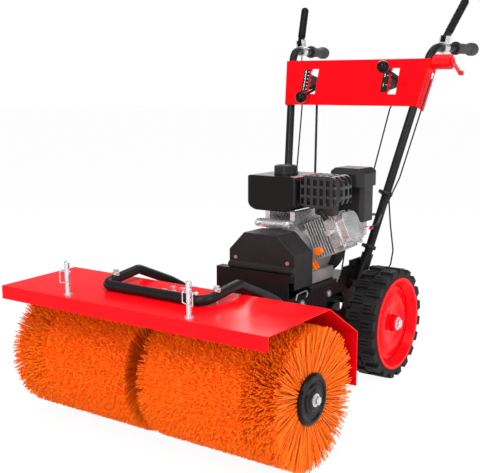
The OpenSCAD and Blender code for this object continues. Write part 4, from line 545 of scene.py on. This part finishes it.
class SWEEPER_OT_bristle_halves(bpy.types.Operator):
    """Plants both halves of the brush with fanned tufts of strands on their drums"""

    bl_idname = "sweeper.bristle_halves"
    bl_label = "Plant Bristles"

    def execute(self, context):
        sizes = context.scene.sweeper_sizes
        shape, faces = one_strand(sizes.strand_radius)
        for side, name in ((-1.0, "bristles_left"), (1.0, "bristles_right")):
            layers = [self.plant(sizes, shape, faces, side, name, layer) for layer in (1, 2)]
            for half in (*layers, self.heart(sizes, side, name)):
                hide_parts(name)
                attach(half, "brush")
        return {"FINISHED"}

    def heart(self, sizes, side, name):
        """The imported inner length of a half: a drum with coned ends inside the strands"""
        wide = sizes.heart * BRUSH_RADIUS
        inner, outer = ROOT_IN + 0.004, DRUM_HIGH.x - 0.012
        spread_in, spread_out = 0.029, sizes.heart * (BRUSH_HIGH.x - DRUM_HIGH.x)
        length = outer - inner + spread_in + spread_out
        deselect()
        bpy.ops.mesh.primitive_cylinder_add(vertices=72, radius=wide, depth=length, location=(0, 0, 0))
        piece = bpy.context.object
        piece.name = name + "_heart"
        bpy.ops.object.mode_set(mode="EDIT")
        for level, share in ((-1.0, 0.5), (-1.0, 0.96), (1.0, 0.5), (1.0, 0.96)):
            bpy.ops.mesh.select_all(action="SELECT")
            bpy.ops.mesh.bisect(plane_co=(0, 0, level * share * length / 2), plane_no=(0, 0, 1))
        bpy.ops.object.mode_set(mode="OBJECT")
        narrow = (DRUM_RADIUS + 0.002) / wide
        for end, depth in ((-1.0, spread_in), (1.0, spread_out)):
            for vertex in piece.data.vertices:
                vertex.select = vertex.co.z * end > 0.49 * length
            bpy.ops.object.mode_set(mode="EDIT")
            bpy.ops.transform.resize(value=(narrow, narrow, 1.0))
            bpy.ops.transform.translate(value=(0, 0, -end * depth))
            bpy.ops.object.mode_set(mode="OBJECT")
        middle = (inner - spread_in + outer + spread_out) / 2
        piece.matrix_world = (Matrix.Translation(BRUSH_AXIS + Vector((side * middle, 0, 0)))
                              @ Matrix.Rotation(side * math.pi / 2, 4, "Y"))
        bpy.ops.object.transform_apply(location=True, rotation=True, scale=True)
        bpy.ops.object.shade_smooth_by_angle(angle=math.radians(40))
        wear(piece, bpy.data.materials["bristle_heart"])
        return piece

    def plant(self, sizes, shape, faces, side, name, layer):
        """One layer of a half: half the strands of every tuft"""
        rng = np.random.default_rng(layer + (10 if side > 0 else 20))
        root_out = DRUM_HIGH.x - 0.005
        rings, around, each = sizes.tuft_rings, sizes.tufts_round, sizes.strands // 2
        i, j, _ = (a.ravel() for a in np.indices((rings, around, each)))
        n = i.size
        share = i / (rings - 1)
        turn = 2 * np.pi * (j + 0.5 * (i % 2) + 0.12 * rng.standard_normal(n)) / around
        root_x = ROOT_IN + (root_out - ROOT_IN) * share + rng.uniform(-0.004, 0.004, n)
        tip_in, tip_out = 0.026, BRUSH_HIGH.x - 0.006
        tip_x = tip_in + (tip_out - tip_in) * share + sizes.fan * rng.standard_normal(n)
        tip_x = np.clip(tip_x, 0.0195, BRUSH_HIGH.x + 0.004)
        tip_turn = turn + 0.055 * rng.standard_normal(n)
        tip_r = BRUSH_RADIUS - 0.0008 - np.abs(0.0045 * rng.standard_normal(n))
        root_r = DRUM_RADIUS + 0.002

        def at(x, radius, angle):
            return np.stack([side * x, radius * np.cos(angle), radius * np.sin(angle)], axis=1)

        root, tip = at(root_x, root_r, turn), at(tip_x, tip_r, tip_turn)
        line = tip - root
        length = np.linalg.norm(line, axis=1, keepdims=True)
        way = line / length
        across = np.cross(way, rng.standard_normal((n, 3)))
        across /= np.linalg.norm(across, axis=1, keepdims=True)
        third = np.cross(way, across)
        bow = rng.uniform(0.0, 0.004, (n, 1)) * across
        rows = []
        for x, y, z in shape:
            offset = across * x + third * y
            rows.append(root + way * length * z + offset + (bow if 0.3 < z < 0.9 else 0.0))
        points = np.stack(rows, axis=1).reshape(-1, 3) + np.array(BRUSH_AXIS)
        steps = np.arange(n) * len(shape)
        all_faces = [tuple(int(v) + int(s) for v in f) for s in steps for f in faces]
        mesh = bpy.data.meshes.new(f"{name}_strands_{layer}")
        mesh.from_pydata(points.tolist(), [], all_faces)
        tone = mesh.attributes.new("tone", "FLOAT", "POINT")
        tone.data.foreach_set("value", np.repeat(rng.uniform(0.0, 1.0, n), len(shape)).astype(np.float32))
        # reach feeds the painted shade at the strands' roots
        reach = mesh.attributes.new("reach", "FLOAT", "POINT")
        reach.data.foreach_set("value", np.tile(shape[:, 2], n).astype(np.float32))
        half = bpy.data.objects.new(mesh.name, mesh)
        bpy.context.scene.collection.objects.link(half)
        activate(half)
        bpy.ops.object.mode_set(mode="EDIT")
        bpy.ops.mesh.select_all(action="SELECT")
        bpy.ops.mesh.normals_make_consistent(inside=False)
        bpy.ops.object.mode_set(mode="OBJECT")
        wear(half, bpy.data.materials["bristle_polymer"])
        return half


def from_source(x, y, z):
    """A point of the CAD source, in millimetres from the brush axis, in the row frame"""
    return Vector((x / 1000, y / 1000 + ROW_SHIFT, z / 1000))


def on_panel(x, up, out=0.0):
    """A point at x, up the panel's slope, and out from its face"""
    ahead = PANEL_FACE + out
    lean = Vector((0.0, math.sin(PANEL_LEAN), math.cos(PANEL_LEAN)))
    face = Vector((0.0, -math.cos(PANEL_LEAN), math.sin(PANEL_LEAN)))
    return PANEL_FOOT + Vector((x, ROW_SHIFT, 0.0)) + lean * up + face * ahead


def tube_at(up):
    """How far the right handle tube stands from the middle, at millimetres up the panel's slope"""
    return TUBE_FOOT + up * TUBE_SPREAD / 1000


def rounded_route(corners, radius, steps=7):
    """The points of a line through the corners, each bent to the radius"""
    points = [corners[0]]
    for before, corner, after in zip(corners, corners[1:], corners[2:]):
        back, ahead = (before - corner).normalized(), (after - corner).normalized()
        turn = math.pi - back.angle(ahead)
        run = radius * math.tan(turn / 2)
        middle = corner + (back + ahead).normalized() * (radius / math.cos(turn / 2))
        start = corner + back * run
        axis = back.cross(ahead).normalized()
        for step in range(steps + 1):
            points.append(middle + Matrix.Rotation(-turn * step / steps, 3, axis) @ (start - middle))
    return points + [corners[-1]]


def set_along(piece, at, way):
    """Puts a piece made round the origin at a point, its Z along a way"""
    activate(piece)
    piece.matrix_world = Matrix.Translation(at) @ way.to_track_quat("Z", "Y").to_matrix().to_4x4()
    bpy.ops.object.transform_apply(location=True, rotation=True, scale=True)
    return piece


def turned(name, radius, length, rings, at, way, vertices=24):
    """A round piece standing on a point: rings are shares of its length and widths there"""
    deselect()
    bpy.ops.mesh.primitive_cylinder_add(vertices=vertices, radius=radius, depth=length, location=(0, 0, 0))
    piece = bpy.context.object
    piece.name = name
    bpy.ops.object.mode_set(mode="EDIT")
    bpy.ops.mesh.select_all(action="SELECT")
    bpy.ops.transform.translate(value=(0, 0, length / 2))
    for level, wide in rings:
        bpy.ops.mesh.select_all(action="SELECT")
        bpy.ops.mesh.bisect(plane_co=(0, 0, level * length), plane_no=(0, 0, 1))
        bpy.ops.transform.resize(value=(wide, wide, 1.0))
    bpy.ops.object.mode_set(mode="OBJECT")
    set_along(piece, at, way)
    bpy.ops.object.shade_smooth_by_angle(angle=math.radians(40))
    return piece


def hex_bolt(name, size, at, way):
    """A bolt head of the given radius on its washer"""
    deselect()
    bpy.ops.mesh.primitive_cylinder_add(vertices=6, radius=size, depth=size, location=(0, 0, size * 0.8))
    head = bpy.context.object
    bpy.ops.object.transform_apply(location=True, rotation=True, scale=True)
    soften(head, size * 0.1, 1)
    washer = turned("washer", size * 1.35, size * 0.35, ((0.75, 1.0),), Vector((0, 0, 0)),
                    Vector((0, 0, 1)))
    return set_along(joined([head, washer], name), at, way)


def fixed(piece, slot, *materials):
    """Dresses a piece and fixes it to the chassis"""
    wear(piece, *(bpy.data.materials[m] for m in materials))
    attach(piece, "chassis")


class SWEEPER_OT_engine_trim(bpy.types.Operator):
    """Adds the tank stay, the bolts, the plug boot, the exhaust flange and the tank's stripes"""

    bl_idname = "sweeper.engine_trim"
    bl_label = "Add Engine Trim"

    def execute(self, context):
        front = Vector((0, -1, 0))
        stay = block("tank_stay", (0.118, 0.020, 0.024), from_source(-3, 474, 494))
        soften(stay, 0.006, 3)
        fixed(stay, "zinc", "zinc_plate")
        for side, x in (("left", -53), ("right", 47)):
            bolt = hex_bolt(f"tank_stay_bolt_{side}", 0.0065, from_source(x, 463.9, 494), front)
            fixed(bolt, "zinc", "zinc_plate")
        flange = block("exhaust_flange", (0.066, 0.032, 0.042), from_source(164, 502, 551))
        soften(flange, 0.006, 2)
        fixed(flange, "iron", "iron_casting")
        ribs = ((0.2, 0.8), (0.3, 1.05), (0.45, 0.8), (0.6, 0.9), (0.9, 0.7))
        boot = turned("plug_boot", 0.010, 0.034, ribs, from_source(166, 496, 519),
                      Vector((-0.45, -0.4, 0.8)))
        fixed(boot, "rubber", "moulded_black")
        plug = turned("filler_plug", 0.012, 0.012, ((0.25, 0.8), (0.4, 1.0), (0.85, 1.0)),
                      from_source(138, 508, 421), front, 12)
        fixed(plug, "orange_plastic", "moulded_orange")
        out = Vector((math.cos(CYLINDER_LEAN), 0.0, math.sin(CYLINDER_LEAN)))
        across = Vector((-math.sin(CYLINDER_LEAN), 0.0, math.cos(CYLINDER_LEAN)))
        flange_middle = from_source(25, 560, 406) + out * ROCKER_FLANGE
        corners = ((-0.049, 0.047), (-0.049, -0.047), (0.049, 0.047), (0.049, -0.047))
        for index, (y, h) in enumerate(corners):
            at = flange_middle + across * h + Vector((0, y, 0))
            fixed(hex_bolt(f"rocker_bolt_{index + 1}", 0.005, at, out), "zinc", "zinc_plate")
        stripes = []
        for x, wide, colour in ((56, 2, "stripe_white"), (64, 9, "stripe_red"), (72, 2, "stripe_white")):
            stripe = block("stripe", (wide / 1000, 0.150, 0.0004), from_source(x, 552, 637.3))
            soften(stripe, 0.0001, 1)
            stripes.append(stripe)
            wear(stripe, bpy.data.materials[colour])
        whole = joined(stripes, "tank_stripes")
        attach(whole, "chassis")
        return {"FINISHED"}


class SWEEPER_OT_wheel_faces(bpy.types.Operator):
    """Sets a pressed steel face in the dish of each wheel"""

    bl_idname = "sweeper.wheel_faces"
    bl_label = "Set Wheel Faces"

    def execute(self, context):
        low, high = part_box("tyres")
        for side, name in ((1.0, "right"), (-1.0, "left")):
            face = self.pressed(f"wheel_face_{name}")
            at = Vector((side * WHEEL_FACE, (low.y + high.y) / 2, (low.z + high.z) / 2))
            set_along(face, at, Vector((side, 0, 0)))
            wear(face, bpy.data.materials["hood_enamel"])
            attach(face, "axle")
        return {"FINISHED"}

    def pressed(self, name):
        """A dished ring drawn in from its rim, one rib standing forward"""
        deselect()
        bpy.ops.mesh.primitive_circle_add(vertices=72, radius=WHEEL_DISH, location=(0, 0, 0))
        face = bpy.context.object
        face.name = name
        bpy.ops.object.mode_set(mode="EDIT")
        bpy.ops.mesh.select_all(action="SELECT")
        wide = WHEEL_DISH
        for radius, rise in ((0.100, 0.0), (0.093, 0.005), (0.062, 0.005), (0.054, -0.005), (0.0262, 0.0)):
            bpy.ops.mesh.extrude_edges_move()
            bpy.ops.transform.resize(value=(radius / wide, radius / wide, 1.0))
            bpy.ops.transform.translate(value=(0, 0, rise))
            wide = radius
        bpy.ops.mesh.select_all(action="SELECT")
        bpy.ops.mesh.normals_make_consistent(inside=False)
        bpy.ops.object.mode_set(mode="OBJECT")
        wall = face.modifiers.new("wall", "SOLIDIFY")
        wall.thickness, wall.offset = 0.0012, 0.0
        bpy.ops.object.modifier_apply(modifier=wall.name)
        bpy.ops.object.shade_smooth_by_angle(angle=math.radians(50))
        return face


class SWEEPER_OT_handle_trim(bpy.types.Operator):
    """Clips the cables to the right handle tube and sets a guide bolt in each tube"""

    bl_idname = "sweeper.handle_trim"
    bl_label = "Add Handle Trim"

    def execute(self, context):
        for index, rise in enumerate((-0.285, -0.462)):
            fixed(self.clip(f"cable_clip_{index + 1}", rise), "black_plastic", "moulded_black")
        for side, name in ((1.0, "right"), (-1.0, "left")):
            at = on_panel(side * (tube_at(-355.0) - 0.013), -0.355, -PANEL_FACE)
            guide = turned(f"guide_bolt_{name}", 0.006, 0.030, ((0.55, 1.0), (0.58, 1.5), (0.9, 1.5)), at,
                           Vector((-side, 0, 0)), 12)
            fixed(guide, "zinc", "zinc_plate")
        return {"FINISHED"}

    def clip(self, name, rise):
        """A snap ring round the tube with its jaw behind it"""
        deselect()
        bpy.ops.mesh.primitive_torus_add(major_segments=32, minor_segments=10, major_radius=0.0172,
                                         minor_radius=0.0032, location=(0, 0, 0))
        ring = bpy.context.object
        ring.scale = (1.0, 1.0, 2.2)
        bpy.ops.object.transform_apply(location=True, rotation=True, scale=True)
        bpy.ops.object.shade_smooth()
        jaw = block("jaw", (0.008, 0.012, 0.012), (0, 0.0255, 0))
        soften(jaw, 0.002)
        lean = Vector((TUBE_SPREAD, math.sin(PANEL_LEAN), math.cos(PANEL_LEAN)))
        return set_along(joined([ring, jaw], name), on_panel(tube_at(rise * 1000), rise, -PANEL_FACE), lean)


class SWEEPER_OT_control_cables(bpy.types.Operator):
    """Lays the control cables along their routes, with a barrel at each end"""

    bl_idname = "sweeper.control_cables"
    bl_label = "Lay Control Cables"

    def execute(self, context):
        diameter = context.scene.sweeper_sizes.cable_diameter
        top = self.under_lever()
        mirrored = Vector((-top.x, top.y, top.z))
        routes = {
            "right_clutch_cable": [top, self.behind_tube(118), self.behind_tube(-285),
                                   from_source(190, 876, 455), from_source(191, 899, 369),
                                   from_source(186, 892, 315), from_source(114, 820, 262)],
            "throttle_cable": [self.beside_panel(118), from_source(216, 878, 610),
                               from_source(214, 760, 505), from_source(246, 668, 490),
                               from_source(224, 622, 478)],
            "left_clutch_cable": [mirrored, from_source(-196, 952, 826), from_source(-160, 862, 610),
                                  from_source(-133, 640, 420), from_source(-130, 480, 270)],
            "selector_cable": [from_source(163, 1030, 900), from_source(125, 985, 830),
                               from_source(118, 880, 610), from_source(70, 800, 400),
                               from_source(60, 792, 302)],
        }
        for name, corners in routes.items():
            self.lay(name, rounded_route(corners, 0.025), diameter)
        return {"FINISHED"}

    def behind_tube(self, up):
        return on_panel(tube_at(up), up / 1000, -PANEL_FACE - CABLE_BEHIND)

    def beside_panel(self, up):
        return on_panel(tube_at(up) + CABLE_BESIDE, up / 1000, -PANEL_FACE - CABLE_BACK)

    def under_lever(self):
        rise = (GRIP_HEIGHT - PANEL_FOOT.z * 1000) / math.cos(PANEL_LEAN)
        back = PANEL_FOOT.y * 1000 + rise * math.sin(PANEL_LEAN)
        return from_source(tube_at(rise) * 1000 + LEVER_BACK * math.sin(GRIP_SPLAY),
                           back + LEVER_BACK * math.cos(GRIP_SPLAY), GRIP_HEIGHT - LEVER_DROP)

    def lay(self, name, points, diameter):
        curve = bpy.data.curves.new(name, "CURVE")
        curve.dimensions = "3D"
        curve.bevel_depth = diameter / 2
        curve.bevel_resolution = 3
        curve.use_fill_caps = True
        spline = curve.splines.new("POLY")
        spline.points.add(len(points) - 1)
        for point, place in zip(spline.points, points):
            point.co = (*place, 1.0)
        cable = bpy.data.objects.new(name, curve)
        bpy.context.scene.collection.objects.link(cable)
        curve.materials.append(bpy.data.materials["cable_jacket"])
        for label, at, beyond in (("upper", points[0], points[1]), ("lower", points[-1], points[-2])):
            way = (beyond - at).normalized()
            end = turned(f"{name}_{label}_barrel", diameter * 0.75, 0.018, BARREL_RINGS, at, way, 18)
            wear(end, bpy.data.materials["zinc_plate"])
            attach(end, "chassis")
        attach(cable, "chassis")
        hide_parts("control_cables")


class SWEEPER_OT_scale_strips(bpy.types.Operator):
    """Sets a printed scale with ticks and numbers beside each selector slot"""

    bl_idname = "sweeper.scale_strips"
    bl_label = "Set Scale Strips"

    def execute(self, context):
        film, ink = bpy.data.materials["strip_black"], bpy.data.materials["strip_white"]
        for name, slot_x, marks in (("left_scale", -0.151, "654321"), ("right_scale", 0.151, "21")):
            self.strip(name, slot_x - 0.0275, marks, film, ink)
        return {"FINISHED"}

    def strip(self, name, x, marks, film, ink):
        width, low, high, thick = 0.024, 0.046, 0.126, 0.0006
        base = block(name, (width, high - low, thick), (0, (low + high) / 2, thick / 2))
        soften(base, 0.0002, 1)
        wear(base, film)
        printed = []
        pitch = (high - low) / (len(marks) + 0.5)
        for index, mark in enumerate(marks):
            at = high - pitch * (index + 0.75)
            printed.append(self.number(mark, (-0.004, at, thick)))
            printed.append(block("tick", (0.006, 0.0015, 0.0002), (0.007, at, thick + 0.0001)))
        for piece in printed:
            wear(piece, ink)
        whole = joined([base, *printed], name)
        whole.matrix_world = (Matrix.Translation(on_panel(x, 0.0, 0.0002))
                              @ Matrix.Rotation(math.pi / 2 - PANEL_LEAN, 4, "X"))
        bpy.ops.object.transform_apply(location=True, rotation=True, scale=True)
        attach(whole, "chassis")

    def number(self, mark, at):
        deselect()
        bpy.ops.object.text_add(location=(0, 0, 0))
        text = bpy.context.object
        text.data.body = mark
        text.data.size = 0.014
        text.data.align_x, text.data.align_y = "CENTER", "CENTER"
        text.data.extrude = 0.0001
        bpy.ops.object.convert(target="MESH")
        piece = bpy.context.object
        piece.location = (at[0], at[1], at[2] + 0.0001)
        bpy.ops.object.transform_apply(location=True, rotation=True, scale=True)
        return piece


class SWEEPER_OT_studio(bpy.types.Operator):
    """Sets up the pale floor, the soft lamps, the world and the camera"""

    bl_idname = "sweeper.studio"
    bl_label = "Set Up Studio"

    def execute(self, context):
        self.floor()
        self.world(context.scene)
        for lamp in LAMPS:
            self.lamp(*lamp)
        self.camera(context.scene)
        context.scene.view_settings.view_transform = "Standard"
        return {"FINISHED"}

    def seen_rays(self, tree):
        """One for rays that show the background: from the camera, in metal and through glass"""
        rays = tree.nodes.new("ShaderNodeLightPath")
        seen = rays.outputs["Is Camera Ray"]
        for other in ("Is Glossy Ray", "Is Transmission Ray"):
            larger = tree.nodes.new("ShaderNodeMath")
            larger.operation = "MAXIMUM"
            tree.links.new(seen, larger.inputs[0])
            tree.links.new(rays.outputs[other], larger.inputs[1])
            seen = larger.outputs["Value"]
        return seen

    def floor(self):
        deselect()
        bpy.ops.mesh.primitive_plane_add(size=60.0, location=(0, 0, -0.0008))
        floor = bpy.context.object
        floor.name = "studio_floor"
        bpy.ops.object.transform_apply(location=True, rotation=True, scale=True)
        material = bpy.data.materials.new("studio_paper")
        material.use_nodes = True
        tree = material.node_tree
        paper = tree.nodes["Principled BSDF"]
        paper.inputs["Base Color"].default_value = (0.96, 0.96, 0.96, 1.0)
        paper.inputs["Roughness"].default_value = 0.9
        paper.inputs["Specular IOR Level"].default_value = 0.0
        glow = tree.nodes.new("ShaderNodeEmission")
        glow.inputs["Color"].default_value = (1.0, 1.0, 1.0, 1.0)
        seen = tree.nodes.new("ShaderNodeMath")
        seen.operation = "MULTIPLY"
        seen.inputs[1].default_value = FLOOR_WHITE
        tree.links.new(self.seen_rays(tree), seen.inputs[0])
        both = tree.nodes.new("ShaderNodeMixShader")
        tree.links.new(seen.outputs["Value"], both.inputs["Fac"])
        tree.links.new(paper.outputs["BSDF"], both.inputs[1])
        tree.links.new(glow.outputs["Emission"], both.inputs[2])
        tree.links.new(both.outputs["Shader"], tree.nodes["Material Output"].inputs["Surface"])
        floor.data.materials.append(material)

    def world(self, scene):
        scene.world = bpy.data.worlds.new("studio_world")
        scene.world.use_nodes = True
        tree = scene.world.node_tree
        sky = tree.nodes["Background"]
        sky.inputs["Color"].default_value = (1.0, 1.0, 1.0, 1.0)
        height = tree.nodes.new("ShaderNodeSeparateXYZ")
        way = tree.nodes.new("ShaderNodeTexCoord")
        tree.links.new(way.outputs["Generated"], height.inputs["Vector"])
        fade = tree.nodes.new("ShaderNodeMapRange")
        for key, value in (("From Min", 0.1), ("From Max", 0.24), ("To Min", 1.0), ("To Max", 0.2)):
            fade.inputs[key].default_value = value
        tree.links.new(height.outputs["Z"], fade.inputs["Value"])
        strength = tree.nodes.new("ShaderNodeMix")
        strength.inputs[2].default_value = WORLD_FILL
        tree.links.new(self.seen_rays(tree), strength.inputs[0])
        tree.links.new(fade.outputs["Result"], strength.inputs[3])
        tree.links.new(strength.outputs[0], sky.inputs["Strength"])

    def lamp(self, name, at, size, power):
        deselect()
        bpy.ops.object.light_add(type="AREA", location=at)
        lamp = bpy.context.object
        lamp.name = name
        lamp.data.size = size
        lamp.data.energy = power
        lamp.rotation_euler = (LAMP_AIM - Vector(at)).to_track_quat("-Z", "Y").to_euler()

    def camera(self, scene):
        deselect()
        eye, aim = from_source(*CAMERA_EYE), from_source(*CAMERA_AIM)
        bpy.ops.object.camera_add(location=eye)
        camera = bpy.context.object
        camera.name = "photo_camera"
        camera.rotation_euler = (aim - eye).to_track_quat("-Z", "Y").to_euler()
        camera.data.sensor_width = CAMERA_SENSOR
        camera.data.lens = CAMERA_LENS
        camera.data.clip_start, camera.data.clip_end = 0.05, 100.0
        scene.camera = camera


class SWEEPER_PT_sidebar(bpy.types.Panel):
    """Lists the steps that dress the sweeper"""

    bl_idname = "SWEEPER_PT_sidebar"
    bl_label = "Sweeper"
    bl_space_type = "VIEW_3D"
    bl_region_type = "UI"
    bl_category = "Sweeper"

    def draw(self, context):
        for group in (context.scene.sweeper_finishes, context.scene.sweeper_sizes):
            for key in group.__annotations__:
                self.layout.prop(group, key)
        for step in STEPS:
            self.layout.operator(step.bl_idname)


STEPS = (SWEEPER_OT_studio, SWEEPER_OT_coat_nodes, SWEEPER_OT_control_cables, SWEEPER_OT_bristle_halves,
         SWEEPER_OT_scale_strips, SWEEPER_OT_engine_trim, SWEEPER_OT_wheel_faces, SWEEPER_OT_handle_trim)
CLASSES = (SweeperFinishes, SweeperSizes, *STEPS, SWEEPER_PT_sidebar)


def register():
    for kind in CLASSES:
        bpy.utils.register_class(kind)
    bpy.types.Scene.sweeper_finishes = bpy.props.PointerProperty(type=SweeperFinishes)
    bpy.types.Scene.sweeper_sizes = bpy.props.PointerProperty(type=SweeperSizes)


def unregister():
    del bpy.types.Scene.sweeper_sizes
    del bpy.types.Scene.sweeper_finishes
    for kind in reversed(CLASSES):
        bpy.utils.unregister_class(kind)


def main():
    register()
    bpy.ops.sweeper.studio()
    bpy.ops.sweeper.coat_nodes()
    bpy.ops.sweeper.control_cables()
    bpy.ops.sweeper.bristle_halves()
    bpy.ops.sweeper.scale_strips()
    bpy.ops.sweeper.engine_trim()
    bpy.ops.sweeper.wheel_faces()
    bpy.ops.sweeper.handle_trim()
    deselect()


if __name__ == "__main__":
    main()
